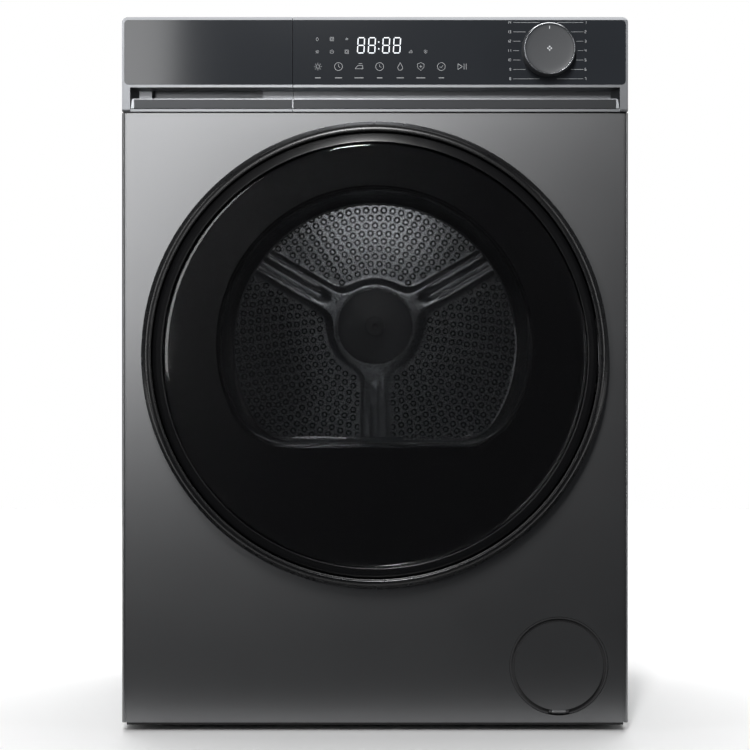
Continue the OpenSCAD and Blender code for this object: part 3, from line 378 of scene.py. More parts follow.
def make_finishes(colours):
    """Fills FINISHES with one material per slot of the record, and the ones new pieces add."""
    cabinet, silver = tuple(colours.cabinet), tuple(colours.silver)
    black, steel = tuple(colours.black), tuple(colours.steel)
    FINISHES.update(
        cabinet_paint=metallic_paint("cabinet_paint", cabinet),
        fascia_silver=metallic_paint("fascia_silver", silver, 0.36),
        # groove strip: the fascia silver darkened to 0.8, painted shade on the slope below the
        # finger groove
        groove=metallic_paint("groove_painted_shade", tuple(c * 0.8 for c in silver), 0.36),
        fascia_glass=printed_glass("fascia_glass", tuple(colours.glass)),
        knob=moulded("knob_plastic", (0.036, 0.039, 0.044), 0.42, 2200),
        door_black=gloss_black("door_black", black, 0.26),
        door_satin=gloss_black("door_satin", black, 0.22),
        door_glass=clear_glass("smoked_glass", (0.42, 0.42, 0.43)),
        door_frame=moulded("door_frame_black", (0.010, 0.010, 0.011), 0.5),
        bowl=clear_glass("bowl_clear", (0.93, 0.95, 0.96), 0.01, ior=1.35),
        zinc=brushed("zinc_steel", (0.45, 0.46, 0.48), (1, 8, 1), 0.4),
        galvanised=galvanised("galvanised", (0.46, 0.47, 0.49)),
        stainless=brushed("drum_steel", steel, (1, 14, 1), 0.26),
        hub=moulded("hub_grey", (0.16, 0.16, 0.165), 0.38),
        bearing_steel=brushed("ground_steel", (0.5, 0.5, 0.52), (1, 20, 1), 0.25),
        bulkhead=moulded("bulkhead_dark", (0.022, 0.022, 0.024), 0.42),
        felt=felted("felt", (0.5, 0.48, 0.42)),
        rubber=rubbery("rubber", (0.012, 0.012, 0.013)),
        roller=moulded("roller_plastic", (0.03, 0.03, 0.032), 0.45),
        filter=moulded("filter_grey", (0.16, 0.17, 0.18), 0.5),
        base=moulded("base_black", (0.014, 0.014, 0.015), 0.6, 900),
        tank=moulded("tank_grey", (0.42, 0.44, 0.46), 0.38),
        fins=finned("fin_aluminium", (0.70, 0.71, 0.72)),
        compressor=moulded("compressor_black", (0.010, 0.010, 0.011), 0.35, 500),
        copper=brushed("copper", (0.62, 0.28, 0.15), (4, 1, 1), 0.28),
        motor=galvanised("motor_aluminium", (0.36, 0.37, 0.38)),
        board=moulded("board_green", (0.010, 0.075, 0.026), 0.4),
        foot=rubbery("foot_rubber", (0.022, 0.022, 0.024)),
        print_black=gloss_black("print_black", (0.0035, 0.0035, 0.004), 0.3),
        # the printed marks glow at 0.10: painted light, as print gives no light of its own
        marks=lit_mark("printed_marks_painted_glow", tuple(colours.marks), 0.10),
        digits=lit_mark("lit_digits", (0.85, 0.88, 0.92), 0.55),
        # service cover: the cabinet paint darkened to 0.86, painted shade that holds down its
        # reflection of the floor
        cover_paint=metallic_paint("cover_paint", tuple(c * 0.86 for c in cabinet), 0.3),
        shadow=moulded("hole_shadow", (0.006, 0.006, 0.0065), 0.6),
        bright_edge=metallic_paint("bright_edge", (0.42, 0.43, 0.45), 0.22),
        door_line=metallic_paint("door_line", (0.07, 0.07, 0.073), 0.22),
    )


def keep_nodes(nodes, finish=None):
    """CAD nodes that keep their mesh and take a finish from their slot."""
    slot_of = {row["node"]: row["material_slot"] for row in RECORD["subparts"]}
    for node in nodes:
        for place in NODES[node].material_slots:
            place.material = FINISHES[finish or slot_of[node]]


def settle(piece, body, slot, *nodes):
    """Rides a new piece on a body and hides the CAD nodes it stands for."""
    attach(piece, body)
    if nodes:
        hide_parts(*nodes)
    return piece


def applied(piece, cutters=()):
    """The piece with its modifiers, and each cutter taken away, made into plain mesh."""
    for cutter in cutters:
        cut = piece.modifiers.new("cut", "BOOLEAN")
        cut.object, cut.operation, cut.solver = cutter, "DIFFERENCE", "EXACT"
    graph = bpy.context.evaluated_depsgraph_get()
    graph.update()
    mesh = bpy.data.meshes.new_from_object(piece.evaluated_get(graph))
    piece.modifiers.clear()
    piece.data = mesh
    for cutter in cutters:
        bpy.data.objects.remove(cutter)
    return piece


def box_mesh(name, low, high, material):
    """A closed box between two corners."""
    low, high = np.asarray(low), np.asarray(high)
    corners = low + (high - low) * np.array([[i & 1, i >> 1 & 1, i >> 2] for i in range(8)])
    faces = [(0, 2, 3, 1), (4, 5, 7, 6), (0, 1, 5, 4), (2, 6, 7, 3), (0, 4, 6, 2), (1, 3, 7, 5)]
    return make_mesh(name, corners, faces, material, smooth=False)


# ---- marks on the fascia ----

MARK_T = 0.10 * MM
LINE = 0.42 * MM
SEGMENTS = {"0": "abcdef", "1": "bc", "2": "abged", "3": "abgcd", "4": "fgbc", "5": "afgcd",
            "6": "afgedc", "7": "abc", "8": "abcdefg", "9": "abcdfg"}
SEGMENT_ENDS = {"a": ((0, 2), (1, 2)), "b": ((1, 2), (1, 1)), "c": ((1, 1), (1, 0)),
                "d": ((0, 0), (1, 0)), "e": ((0, 1), (0, 0)), "f": ((0, 2), (0, 1)),
                "g": ((0, 1), (1, 1))}


def arc_path(x, z, r, start=0.0, end=360.0, steps=28):
    """Points of an arc, angles in degrees."""
    a = np.radians(np.linspace(start, end, steps))
    return np.stack([x + r * np.cos(a), z + r * np.sin(a)], axis=1)


def digit_paths(text, x, z, width, height, step, trim=0.12, slant=0.0):
    """Strokes of a row of seven-segment digits from x, z rightwards."""
    paths = []
    for k, figure in enumerate(text):
        for segment in SEGMENTS[figure]:
            a, b = (np.array(p, float) for p in SEGMENT_ENDS[segment])
            a, b = a + (b - a) * trim, b - (b - a) * trim
            ends = np.array([a, b]) * [width, height / 2]
            ends[:, 0] += ends[:, 1] * slant
            paths.append(ends + [x + k * step, z])
    return paths


def ribbon(path, width):
    """A flat strip along a path: each point moved half the width to either side."""
    path = np.asarray(path, float)
    way = np.gradient(path, axis=0) if len(path) > 2 else np.repeat([path[1] - path[0]], 2, axis=0)
    way /= np.linalg.norm(way, axis=1)[:, None]
    side = np.stack([-way[:, 1], way[:, 0]], axis=1) * width / 2
    return path + side, path - side


def mark_mesh(name, strokes, y, material):
    """One mesh of thin closed strips, from (path, width) pairs drawn in X and Z at y."""
    points, faces = [], []
    for path, width in strokes:
        left, right = ribbon(path, width)
        n, start = len(left), len(points)
        for depth in (0, MARK_T):
            for p in (left, right):
                points.extend([(a, y + depth, b) for a, b in p])
        fl, fr, bl, br = (start + n * k + np.arange(n) for k in range(4))
        for a, b in ((fl, fr), (fr, br), (br, bl), (bl, fl)):
            faces.extend(np.stack([a[:-1], a[1:], b[1:], b[:-1]], axis=1).tolist())
        faces += [[int(v) for v in (fl[0], fr[0], br[0], bl[0])],
                  [int(v) for v in (fr[-1], fl[-1], bl[-1], br[-1])]]
    return face_outwards(make_mesh(name, points, faces, material, smooth=False))


def icon_strokes(kind, x, z, r):
    """Strokes of one plain symbol of radius r about x, z."""
    c = np.array([x, z])

    def line(*ends):
        return np.array([c + np.array(e) * r for e in ends])

    shapes = {
        "sun": [arc_path(x, z, r * 0.45)] + [
            line(*[(k * math.cos(a), k * math.sin(a)) for k in (0.68, 1.0)])
            for a in np.arange(8) * math.pi / 4],
        "clock": [arc_path(x, z, r), line((0, 0.6), (0, 0), (0.45, -0.25))],
        "iron": [line((-1, -0.55), (1, -0.55)), line((1, -0.55), (0.85, 0.3)),
                 line((0.85, 0.3), (-0.3, 0.3)), line((-0.3, 0.3), (-1, -0.55)),
                 line((-0.1, 0.75), (0.8, 0.75))],
        "drum": [arc_path(x, z, r * 0.62), line((-1, -1), (1, -1)), line((1, -1), (1, 1)),
                 line((1, 1), (-1, 1)), line((-1, 1), (-1, -1))],
        "shield": [line((0, 1), (0.85, 0.65), (0.8, -0.2), (0, -1), (-0.8, -0.2), (-0.85, 0.65),
                        (0, 1)),
                   line((-0.35, 0.05), (0.35, 0.05)), line((0, 0.4), (0, -0.3))],
        "tick": [arc_path(x, z, r), line((-0.42, 0), (-0.1, -0.32), (0.45, 0.32))],
        "start": [line((-1, 0.75), (-1, -0.75)), line((-1, -0.75), (0.1, 0)),
                  line((0.1, 0), (-1, 0.75)),
                  line((0.55, 0.75), (0.55, -0.75)), line((1.1, 0.75), (1.1, -0.75))],
        "drop": [line((0, 1), (0.6, -0.1)), line((0, 1), (-0.6, -0.1)),
                 arc_path(x, z - r * 0.3, r * 0.62, 160, 380)],
        "lock": [line((-0.7, -0.4), (0.7, -0.4)), line((-0.7, 0), (0.7, 0)),
                 arc_path(x, z + r * 0.1, r * 0.45, 0, 180)],
    }
    return shapes[kind]


class DRYER_OT_fascia(bpy.types.Operator):
    """Silver fascia, dark glass, lit digits, symbols and the program ring's marks"""
    bl_idname = "dryer.fascia"
    bl_label = "Fascia"

    def execute(self, context):
        keep_nodes(["control_panel", "drawer_front", "control_glass", "drawer_glass"])
        low = GLASS_LOW[2]
        y = GLASS_Y - MARK_T
        icon_r, icon_step, icon_x = 4.6 * MM, 24.1 * MM, -66.9 * MM
        touch = ["sun", "clock", "iron", "clock", "drop", "shield", "tick", "start"]
        strokes, thin = [], LINE * 0.85
        for k, kind in enumerate(touch):
            x = icon_x + k * icon_step
            strokes += [(p, thin) for p in icon_strokes(kind, x, low + 21.2 * MM, icon_r)]
            if kind != "start":
                half = (3.2 + k % 3) * MM
                z = low + 8 * MM
                strokes.append((np.array([[x - half, z], [x + half, z]]), 0.6 * MM))
        small_r, upper, lower = 2.1 * MM, low + 53.5 * MM, low + 38.6 * MM
        small = [("drop", -67.7, upper), ("drum", -50.5, upper), ("lock", -33.1, upper),
                 ("sun", -67.7, lower), ("clock", -50.5, lower), ("drum", -33.1, lower),
                 ("iron", 41.7, lower), ("shield", 59.3, lower)]
        for kind, x, z in small:
            strokes += [(p, thin * 0.8) for p in icon_strokes(kind, x * MM, z, small_r)]
        row, reach = 11.0 * MM, KNOB_R + 3.2 * MM
        for side in (-1, 1):
            for k in range(-3, 4):
                z = KNOB_Z + k * row
                near = max(math.sqrt(max(reach ** 2 - (k * row) ** 2, 0)), 9 * MM) * side + KNOB_X
                far = KNOB_X + side * 41 * MM
                strokes.append((np.array([[near, z], [far, z]]), 0.26 * MM))
                number = str(4 - k if side > 0 else 11 + k)
                step = 2.6 * MM
                start = far + (1.8 * MM if side > 0 else -1.8 * MM - len(number) * step)
                figures = digit_paths(number, start, z - 1.3 * MM, 1.5 * MM, 2.8 * MM, step, 0.02)
                strokes += [(p, 0.34 * MM) for p in figures]
        settle(mark_mesh("fascia_marks", strokes, y, FINISHES["marks"]), "root", "fascia_glass")
        clock = []
        for text, x in (("88", -20.6), ("88", 8.8)):
            clock += digit_paths(text, x * MM, low + 37.2 * MM, 7.6 * MM, 17.8 * MM, 12.7 * MM,
                                 trim=0.09, slant=0.05)
        lit = [(p, 1.25 * MM) for p in clock]
        for up in (42, 50):
            dot = np.array([[3.7 * MM, low + up * MM], [5.2 * MM, low + up * MM]])
            lit.append((dot, 1.5 * MM))
        settle(mark_mesh("display_digits", lit, y, FINISHES["digits"]), "root", "fascia_glass")
        self.groove("drawer_groove", "drawer", "drawer_front", 0)
        self.groove("panel_groove", "root", "control_panel", 1)
        return {"FINISHED"}

    def groove(self, name, body, node, side):
        """Face below the finger groove: a strip from a thin ridge down to the light lip, in a
        darker copy of the fascia silver that is painted shade.
        """
        low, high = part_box(node)
        front, z = low[1], low[2]
        cheek, seam = 14 * MM, 0.4 * MM
        x0 = low[0] + (cheek if side == 0 else seam)
        x1 = high[0] - (seam if side == 0 else cheek)
        shape = rounded([(front + 1.1 * MM, z + 15.1 * MM), (front + 0.9 * MM, z + 14.0 * MM),
                         (front + 2.6 * MM, z + 3.6 * MM), (front + 3.9 * MM, z + 3.6 * MM),
                         (front + 6.6 * MM, z + 15.1 * MM)], 0.3 * MM, 3)
        points = np.array([[(x, y, h) for y, h in shape] for x in (x0, x1)])
        n = len(shape)
        faces = grid_faces(2, n, wrap_cols=True) + [list(range(n)), list(range(n, 2 * n))]
        # the darker groove finish is painted shade, not a finish of its own
        strip = face_outwards(make_mesh(name, points, faces, FINISHES["groove"], smooth=False))
        settle(strip, body, "fascia_silver")


class DRYER_OT_knob(bpy.types.Operator):
    """Program knob with its bevelled rim, pointer and centre symbol"""
    bl_idname = "dryer.knob"
    bl_label = "Program knob"

    def execute(self, context):
        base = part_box("control_glass")[0][1] - 0.3 * MM
        face, r = KNOB_FACE, KNOB_R
        outline = rounded([(r - 1.5 * MM, base), (r, base - 1 * MM), (r, base - 5 * MM),
                           (r - 0.9 * MM, face + 2.2 * MM), (r - 2.2 * MM, face),
                           (r - 3.6 * MM, face + 0.7 * MM), (r - 9 * MM, face + 1 * MM)],
                          1.2 * MM, closed=False)
        profile = np.vstack([[0, base], outline, [0, face + 1.1 * MM]])
        body = turned("knob_body", profile, (KNOB_X, KNOB_Z), FINISHES["knob"], steps=192,
                      closed=False)
        settle(body, "knob", "knob", "program_knob")
        rim_section = rounded([(r - 2.9 * MM, face + 0.5 * MM), (r - 2.2 * MM, face),
                               (r - 1.3 * MM, face + 0.9 * MM), (r - 2.2 * MM, face + 1.6 * MM)],
                              0.3 * MM)
        rim = turned("knob_rim", rim_section, (KNOB_X, KNOB_Z), FINISHES["bright_edge"], steps=192)
        settle(rim, "knob", "fascia_silver")
        top = KNOB_Z + r
        pointer = np.array([[KNOB_X, top - 8.6 * MM], [KNOB_X, top - 4.6 * MM]])
        strokes = [(pointer, 0.8 * MM)]
        for dx, dz in ((0, 1.9), (1.9, 0), (0, -1.9), (-1.9, 0)):
            c = np.array([KNOB_X + dx * MM, KNOB_Z + dz * MM])
            strokes.append((np.array([c - 0.6 * MM, c + 0.6 * MM]), 1.7 * MM))
        # the knob's marks take the same glowing print finish: painted light
        marks = mark_mesh("knob_marks", strokes, face + 0.9 * MM - MARK_T, FINISHES["marks"])
        settle(marks, "knob", "knob")
        return {"FINISHED"}


# ---- door ----

class DRYER_OT_door(bpy.types.Operator):
    """Door ring, inner trim, smoked glass, black print with the window, and the clear bowl"""
    bl_idname = "dryer.door"
    bl_label = "Door"

    def execute(self, context):
        sizes = context.scene.dryer_door
        centre, f, r = (DOOR_X, DOOR_Z), DOOR_FACE, DOOR_R
        back = PANEL_Y
        keep_nodes(["door_inner_frame", "door_hook"])
        ring_section = rounded([
            (r - 12.5 * MM, back - 0.7 * MM), (r - 6.5 * MM, back - 2.3 * MM),
            (r - 1.9 * MM, back - 6 * MM), (r, back - 12 * MM), (r - 1.0 * MM, back - 22 * MM),
            (r - 4.6 * MM, f + 5.2 * MM), (r - 6.2 * MM, f + 2.2 * MM),
            (r - 9.5 * MM, f + 0.4 * MM), (r - 12.9 * MM, f + 0.2 * MM),
            (r - 13.7 * MM, f + 1.2 * MM), (r - 13.7 * MM, f + 4.4 * MM),
            (r - 8.5 * MM, f + 6 * MM), (r - 3.6 * MM, back - 20 * MM),
            (r - 3.0 * MM, back - 12 * MM), (r - 5.2 * MM, back - 5.6 * MM),
            (r - 12.5 * MM, back - 3.3 * MM)], 2.2 * MM, 6)
        ring = turned("door_ring_outer", ring_section, centre, FINISHES["door_black"], steps=320)
        low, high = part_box("hinge_bracket")
        mid, arm, half = (low[2] + high[2]) / 2, 38 * MM, 5 * MM
        cutters = [box_mesh("cutter", (r - 24 * MM, back - 20 * MM, mid + s * arm - half),
                            (r + 9 * MM, back + 5 * MM, mid + s * arm + half),
                            FINISHES["door_black"])
                   for s in (-1, 1)]
        settle(applied(ring, cutters), "door", "door_black", "door_ring")
        g = sizes.glass_r
        trim_section = rounded([
            (g + 0.4 * MM, f + 1.9 * MM), (g + 1.2 * MM, f + 1.1 * MM),
            (r - 15.2 * MM, f + 5.0 * MM), (r - 14.4 * MM, f + 6.6 * MM),
            (r - 14.4 * MM, f + 8.2 * MM),
            (g + 2.6 * MM, f + 10.2 * MM), (g + 0.3 * MM, f + 10.2 * MM),
            (g + 0.3 * MM, f + 5.2 * MM)], 0.6 * MM, 5)
        trim = turned("door_ring_trim", trim_section, centre, FINISHES["door_satin"], steps=320)
        settle(trim, "door", "door_black")
        line_r = r - 10.6 * MM
        line_in, line_out, line_back = line_r - 0.8 * MM, line_r + 0.8 * MM, f + 1.6 * MM
        line = turned("door_ring_line", [(line_in, f + 0.1 * MM), (line_out, f + 1.0 * MM),
                                         (line_out, line_back), (line_in, line_back)],
                      centre, FINISHES["door_line"], steps=320)
        settle(line, "door", "door_black")
        flat, back_flat = f + 6.0 * MM, f + 9.4 * MM
        glass = turned("door_glass_pane", [
            (0, flat), (g - 6 * MM, flat), (g - 3 * MM, flat), (g - 1.5 * MM, flat + 0.2 * MM),
            (g - 0.5 * MM, flat + 0.8 * MM), (g, flat + 1.8 * MM), (g, back_flat - 0.8 * MM),
            (g - 1 * MM, back_flat), (g - 4 * MM, back_flat),
            (0, back_flat)], centre, FINISHES["door_glass"], steps=256, closed=False)
        settle(glass, "door", "door_glass", "door_glass")
        self.printed_band(sizes, centre, f + 10.6 * MM, g - 0.3 * MM)
        self.bowl(sizes)
        return {"FINISHED"}

    def printed_band(self, sizes, centre, y, outer_r):
        """Black print behind the glass, from the window's outline out to a circle."""
        inner = clean_outline(window_outline(sizes, 0.001), 288)
        way = inner - centre
        outer = centre + way / np.linalg.norm(way, axis=1)[:, None] * outer_r
        thick = 0.3 * MM
        rows = [(inner, y), (outer, y), (outer, y + thick), (inner, y + thick)]
        points = np.stack([np.stack([p[:, 0], np.full(len(p), d), p[:, 1]], axis=1)
                           for p, d in rows])
        faces = grid_faces(4, len(inner), wrap_rows=True, wrap_cols=True)
        band = face_outwards(make_mesh("door_print", points, faces, FINISHES["print_black"],
                                       smooth=False))
        settle(band, "door", "door_black")

    def bowl(self, sizes):
        """Clear bowl: outlines that shrink towards the back, closed by a slightly domed face."""
        front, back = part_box("door_bowl")[0][1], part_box("door_bowl")[1][1] - 0.4 * MM
        depth, count = back - front, 216
        stations = [(7.5, 0.34), (7.8, 0.36), (1.0, 0.36), (0.6, 0.30), (0.8, 0.0), (-0.8, 0.0),
                    (-1.6, 0.3), (-4.5, 0.62), (-8.5, 0.86), (-11.5, 0.95), (-16, 0.99), (-22, 1.0)]
        base = clean_outline(window_outline(sizes), count)
        heart = np.array([0.0, sizes.window_z - 6 * MM])
        rows = []
        for grow, part in stations:
            scale = 1 + grow * MM / sizes.window_r
            shape = heart + (base - heart) * scale
            y = np.full(count, front + depth * part)
            rows.append(np.stack([shape[:, 0], y, shape[:, 1]], axis=1))
        for k, dome in ((0.6, 0.2), (0.3, 0.5), (0.1, 0.6), (0.0, 0.6)):
            shape = heart + (base - heart) * k
            y = np.full(count, back - dome * MM)
            rows.append(np.stack([shape[:, 0], y, shape[:, 1]], axis=1))
        faces = grid_faces(len(rows), count, wrap_cols=True)
        piece = make_mesh("bowl_shell", np.stack(rows), faces, FINISHES["bowl"])
        face_outwards(piece)
        wall = piece.modifiers.new("wall", "SOLIDIFY")
        wall.thickness, wall.offset = 2.4 * MM, -1
        settle(applied(piece), "door", "bowl", "door_bowl")


# ---- drum ----

SPOKES = np.radians([30, 150, 270])


def smooth_step(t):
    """0 below 0, 1 above 1, and 3t^2 - 2t^3 between."""
    t = np.clip(t, 0, 1)
    return t * t * (3 - 2 * t)


def spoke_offsets(x, z):
    """For each point: distance along and across the nearest spoke's axis."""
    along = np.stack([x * np.cos(a) + z * np.sin(a) for a in SPOKES])
    across = np.stack([-x * np.sin(a) + z * np.cos(a) for a in SPOKES])
    pick = np.argmax(along, axis=0)[None]
    return (np.take_along_axis(q, pick, axis=0)[0] for q in (along, across))


def wall_height(sizes, x, z):
    """Height of the pressed wall above its flat sheet.

    A smooth minimum of the distances to the spokes' edges and to the hub's surround gives one
    outline with filleted corners; a step across it raises the metal, and each spoke has a
    rounded channel down its middle and a fine one inside each edge.
    """
    along, across = spoke_offsets(x, z)
    r = np.hypot(x, z)
    to_spoke = np.abs(across) - sizes.spoke_w / 2
    to_hub = r - sizes.surround_r
    blend = 0.009
    mix = np.clip(0.5 + 0.5 * (to_hub - to_spoke) / blend / 2, 0, 1)
    edge = to_hub * (1 - mix) + to_spoke * mix - 2 * blend * mix * (1 - mix)
    raised = smooth_step(0.5 - edge / 0.009)
    outer = smooth_step((0.262 - r) / 0.014)
    channel = (np.exp(-(across / 0.0055) ** 2)
               * smooth_step((along - sizes.surround_r - 0.006) / 0.02))
    groove = np.exp(-((np.abs(across) - 0.0115) / 0.0016) ** 2) * smooth_step((along - 0.09) / 0.02)
    return sizes.spoke_h * raised * outer * (1 - 0.62 * channel - 0.16 * groove)


class DRYER_OT_drum(bpy.types.Operator):
    """Drum: pressed rear wall, embossed holes, hub cap and its bright ring"""
    bl_idname = "dryer.drum"
    bl_label = "Drum"

    def execute(self, context):
        sizes = context.scene.dryer_drum
        keep_nodes(["drum_shell", "drum_lifters", "drum_shaft"])
        sheet_y = WALL_Y - 0.8 * MM
        self.wall(sizes, sheet_y)
        self.holes(sizes, sheet_y)
        hub_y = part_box("hub_cap")[1][1]
        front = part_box("hub_cap")[0][1]
        cap_section = rounded([
            (3.5 * MM, front + 1.6 * MM), (4.2 * MM, front), (12.5 * MM, front),
            (14.0 * MM, front + 1.5 * MM), (HUB_R - 8 * MM, front + 3.2 * MM),
            (HUB_R - 2 * MM, front + 4.6 * MM), (HUB_R - 0.6 * MM, front + 6.5 * MM),
            (HUB_R - 0.6 * MM, hub_y)], 0.8 * MM, closed=False)
        cap = turned("hub_cap_disc", np.vstack([[0, front + 1.6 * MM], cap_section, [0, hub_y]]),
                     (DRUM_X, DRUM_Z), FINISHES["hub"], steps=160, closed=False)
        settle(cap, "drum", "hub", "hub_cap")
        ring_r, ring_y = HUB_R + 2.0 * MM, hub_y - 1.0 * MM
        section = [(ring_r + 1.5 * MM * math.cos(a), ring_y + 2.4 * MM * math.sin(a))
                   for a in np.linspace(0, 2 * math.pi, 12, endpoint=False)]
        ring = turned("hub_ring", section, (DRUM_X, DRUM_Z), FINISHES["stainless"], steps=160)
        settle(ring, "drum", "stainless")
        return {"FINISHED"}

    def wall(self, sizes, sheet_y):
        """The rear wall: rings of points, each lifted towards the front by wall_height."""
        radii = np.concatenate([np.linspace(0.012, 0.05, 6), np.linspace(0.054, 0.270, 78),
                                [0.278, DRUM_R - 1.2 * MM]])
        a = np.linspace(0, 2 * np.pi, 540, endpoint=False)
        r, a = np.meshgrid(radii, a, indexing="ij")
        x, z = r * np.cos(a), r * np.sin(a)
        y = sheet_y - wall_height(sizes, x, z)
        points = np.stack([x + DRUM_X, y, z + DRUM_Z], axis=2)
        piece = make_mesh("rear_wall_sheet", points, grid_faces(*r.shape, wrap_cols=True),
                          FINISHES["stainless"])
        face_outwards(piece)
        settle(piece, "drum", "stainless", "drum_rear_wall")

    def holes(self, sizes, sheet_y):
        """Embossed holes in rings round the hub: small collars with a dark floor.

        Ring k has radius r0 + k * 0.87 pitch and as many holes as fit at the pitch,
        every second ring is turned by half a step, and the spokes are left clear.
        """
        pitch, rim = sizes.hole_pitch, sizes.hole_r
        spots = []
        for k, ring in enumerate(np.arange(sizes.surround_r + 0.014, 0.262, pitch * 0.87)):
            count = int(2 * math.pi * ring / pitch)
            a = (np.arange(count) + 0.5 * (k % 2)) * 2 * math.pi / count + math.pi / 2
            spots.append(np.stack([ring * np.cos(a), ring * np.sin(a)], axis=1))
        spots = np.concatenate(spots)
        along, across = spoke_offsets(spots[:, 0], spots[:, 1])
        spots = spots[np.abs(across) > sizes.spoke_w / 2 + rim + 1.0 * MM]
        lip = np.array([[1.0, 0.0], [0.95, 1.3], [0.88, 1.9], [0.80, 1.5], [0.74, 0.3],
                        [0.0, -0.2]])
        sides = 12
        turn = np.linspace(0, 2 * np.pi, sides, endpoint=False)
        r = lip[:-1, :1] * rim
        depth = -np.repeat(lip[:-1, 1:], sides, axis=1) * MM
        ring = np.stack([r * np.cos(turn), depth, r * np.sin(turn)], axis=2)
        one = np.vstack([ring.reshape(-1, 3), [[0, 0.2 * MM, 0]]])
        seat = np.full(len(spots), sheet_y + 0.1 * MM)
        places = np.stack([spots[:, 0] + DRUM_X, seat, spots[:, 1] + DRUM_Z], axis=1)
        points = (places[:, None] + one[None]).reshape(-1, 3)
        rows = len(lip) - 1
        quads = grid_faces(rows, sides, wrap_cols=True)
        last = (rows - 1) * sides
        floor = [[last + j, last + (j + 1) % sides, rows * sides] for j in range(sides)]
        single = quads + floor
        dark = [0] * (len(quads) - sides) + [1] * (sides + len(floor))
        faces = [[v + k * len(one) for v in face] for k in range(len(spots)) for face in single]
        piece = make_mesh("rear_wall_holes", points, faces,
                          [FINISHES["stainless"], FINISHES["shadow"]], slots=dark * len(spots))
        bm = bmesh.new()
        bm.from_mesh(piece.data)
        bmesh.ops.recalc_face_normals(bm, faces=bm.faces)
        if sum(f.normal.y for f in bm.faces) > 0:
            bmesh.ops.reverse_faces(bm, faces=bm.faces)
        bm.to_mesh(piece.data)
        bm.free()
        settle(piece, "drum", "stainless")


# ---- cabinet and what is inside ----

class DRYER_OT_cabinet(bpy.types.Operator):
    """Painted panels, rear sheet metal, base, feet and the round service cover"""
    bl_idname = "dryer.cabinet"
    bl_label = "Cabinet"

    def execute(self, context):
        keep_nodes(["left_side_panel", "right_side_panel", "front_panel", "top_cover", "base_tray",
                    "rear_panel", "rear_duct_cover", "rear_screws", "mains_inlet", "service_bezel"])
        # the service cover's darker finish is painted shade on the cabinet paint
        keep_nodes(["service_cover"], "cover_paint")
        for side in ("front_left", "front_right", "rear_left", "rear_right"):
            self.foot(side)
        return {"FINISHED"}

    def foot(self, side):
        """A foot: a ribbed rubber pad turned about Z, with its threaded stem."""
        node = side + "_foot"
        low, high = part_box(node)
        r, pad_h = (high[0] - low[0]) / 2, 7 * MM
        stem, thread = 4.9 * MM, 1.5 * MM
        turns = int((high[2] - pad_h) / thread) - 1
        ribs = [(r - (0.6 * MM if k % 2 else 0), 1.4 * MM + k * 0.9 * MM) for k in range(5)]
        screw = [(stem - (0.5 * MM if k % 2 else 0), pad_h + 0.4 * MM + k * thread / 2)
                 for k in range(2 * turns)]
        shoulder = [(r - 0.8 * MM, pad_h - 0.5 * MM), (r - 1.6 * MM, pad_h - 0.1 * MM),
                    (stem, pad_h - 0.1 * MM)]
        profile = ([(0, 0), (r - 1 * MM, 0), (r, 0.8 * MM)] + ribs + shoulder + screw
                   + [(stem, high[2]), (0, high[2])])
        centre = ((low[0] + high[0]) / 2, (low[1] + high[1]) / 2)
        piece = turned(side + "_foot_pad", profile, centre, FINISHES["foot"], axis="z", steps=48,
                       closed=False)
        settle(piece, "foot_" + side, "foot", node)


class DRYER_OT_inside(bpy.types.Operator):
    """Finishes of the pieces inside the cabinet that keep their CAD mesh"""
    bl_idname = "dryer.inside"
    bl_label = "Inside"

    def execute(self, context):
        keep_nodes(["front_bulkhead", "door_seal", "drum_front_seal", "sensor_bars", "lint_duct",
                    "lint_filter", "evaporator", "condenser", "exchanger_cover", "compressor",
                    "refrigerant_pipes", "blower_housing", "blower_wheel", "motor_body",
                    "motor_shaft", "condensate_pump", "tank_cradle", "water_tank", "drum_belt",
                    "belt_idler", "rear_bulkhead", "rear_bearing", "door_lock", "hinge_bracket",
                    "control_module", "display_board", "fan_housing", "cooling_fan",
                    "left_support_roller", "right_support_roller"])
        return {"FINISHED"}


# ---- stage ----

HALF_VIEW = math.radians(9.69)
CAMERA_DISTANCE = 2.58


def soft_light(name, place, target, size, power):
    """An area light of size (width, height) at place, aimed at target."""
    data = bpy.data.lights.new(name, "AREA")
    data.shape, data.energy = "RECTANGLE", power
    data.size, data.size_y = size
    lamp = bpy.data.objects.new(name, data)
    lamp.location = place
    lamp.rotation_euler = (Vector(target) - Vector(place)).to_track_quat("-Z", "Y").to_euler()
    bpy.context.scene.collection.objects.link(lamp)
    return lamp


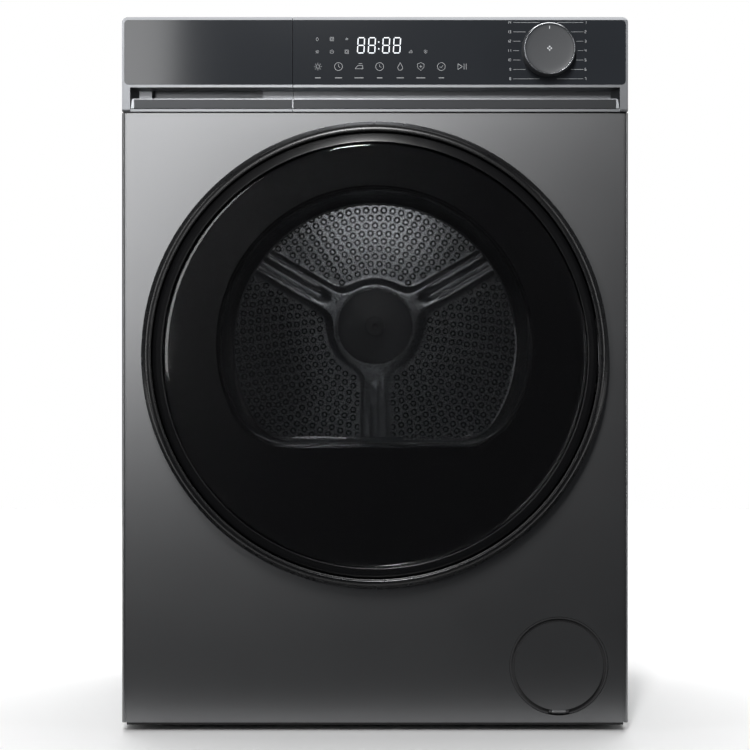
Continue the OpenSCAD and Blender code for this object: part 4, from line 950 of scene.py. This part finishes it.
class DRYER_OT_stage(bpy.types.Operator):
    """Pale floor, soft lights, camera and world"""
    bl_idname = "dryer.stage"
    bl_label = "Stage"

    def execute(self, context):
        floor_finish = Finish("pale_floor", (0.88, 0.88, 0.88), roughness=0.7)
        floor_finish.tint(floor_finish.noise(3, 2), 0.99, 1.01)
        corners = [(-4, -0.43, 0), (4, -0.43, 0), (4, 4, 0), (-4, 4, 0)]
        make_mesh("floor", corners, [(0, 1, 2, 3)], floor_finish.material, smooth=False)
        self.world(context.scene)
        context.scene.view_settings.view_transform = "Standard"
        soft_light("key_left", (-0.691, -2.9, 0.88), (0, PANEL_Y, 0.45), (0.42, 0.96), 6.8)
        soft_light("key_high", (-0.152, -2.9, 2.09), (0, PANEL_Y, 0.45), (0.20, 1.29), 64)
        soft_light("side_left", (-1.9, -1.0, 1.1), (-0.2, -0.3, 0.7), (0.25, 2.2), 11)
        soft_light("side_right", (1.9, -1.0, 1.1), (0.2, -0.3, 0.7), (0.25, 2.2), 9)
        soft_light("top", (0, 1.0, 3.0), (0, 1.0, 0), (3.0, 2.6), 90)
        soft_light("far", (0, 3.4, 2.6), (0, 3.2, 0), (4.0, 2.4), 120)
        soft_light("drum_lamp", (0, -0.20, DRUM_Z + 0.17), (0, WALL_Y, DRUM_Z - 0.05),
                   (0.16, 0.06), 0.15)
        camera = bpy.data.objects.new("camera", bpy.data.cameras.new("camera"))
        camera.data.sensor_width = 36
        camera.data.lens = 18 / math.tan(HALF_VIEW)
        camera.location = (0, PANEL_Y - CAMERA_DISTANCE, 0.4190)
        camera.rotation_euler = (math.pi / 2, 0, 0)
        context.scene.collection.objects.link(camera)
        context.scene.camera = camera
        return {"FINISHED"}

    def world(self, scene):
        """White to the camera and dim to the reflections, as a studio's walls are."""
        world = bpy.data.worlds.new("studio")
        scene.world = world
        world.use_nodes = True
        nodes, links = world.node_tree.nodes, world.node_tree.links
        nodes.clear()
        path = nodes.new("ShaderNodeLightPath")
        seen, lit = nodes.new("ShaderNodeBackground"), nodes.new("ShaderNodeBackground")
        seen.inputs["Color"].default_value = (1, 1, 1, 1)
        lit.inputs["Color"].default_value = (0.92, 0.95, 1, 1)
        lit.inputs["Strength"].default_value = 0.05
        mix, out = nodes.new("ShaderNodeMixShader"), nodes.new("ShaderNodeOutputWorld")
        links.new(path.outputs["Is Camera Ray"], mix.inputs["Fac"])
        links.new(lit.outputs[0], mix.inputs[1])
        links.new(seen.outputs[0], mix.inputs[2])
        links.new(mix.outputs[0], out.inputs["Surface"])


# ---- add-on ----

STEPS = ("cabinet", "inside", "fascia", "knob", "door", "drum", "stage")


class DRYER_PT_panel(bpy.types.Panel):
    """Lists the dryer's sizes, colours and pieces"""
    bl_idname = "DRYER_PT_panel"
    bl_label = "Dryer"
    bl_space_type = "VIEW_3D"
    bl_region_type = "UI"
    bl_category = "Dryer"

    def draw(self, context):
        scene = context.scene
        for group in (scene.dryer_door, scene.dryer_drum, scene.dryer_colours):
            for key in group.__annotations__:
                self.layout.prop(group, key)
        for step in STEPS:
            self.layout.operator("dryer." + step)


CLASSES = (DryerDoorSizes, DryerDrumSizes, DryerColours, DRYER_OT_cabinet, DRYER_OT_inside,
           DRYER_OT_fascia, DRYER_OT_knob, DRYER_OT_door, DRYER_OT_drum, DRYER_OT_stage,
           DRYER_PT_panel)


def register():
    for cls in CLASSES:
        bpy.utils.register_class(cls)
    bpy.types.Scene.dryer_door = bpy.props.PointerProperty(type=DryerDoorSizes)
    bpy.types.Scene.dryer_drum = bpy.props.PointerProperty(type=DryerDrumSizes)
    bpy.types.Scene.dryer_colours = bpy.props.PointerProperty(type=DryerColours)


def unregister():
    for name in ("dryer_door", "dryer_drum", "dryer_colours"):
        delattr(bpy.types.Scene, name)
    for cls in reversed(CLASSES):
        bpy.utils.unregister_class(cls)


def main():
    register()
    make_finishes(bpy.context.scene.dryer_colours)
    for step in STEPS:
        getattr(bpy.ops.dryer, step)()


if __name__ == "__main__":
    main()
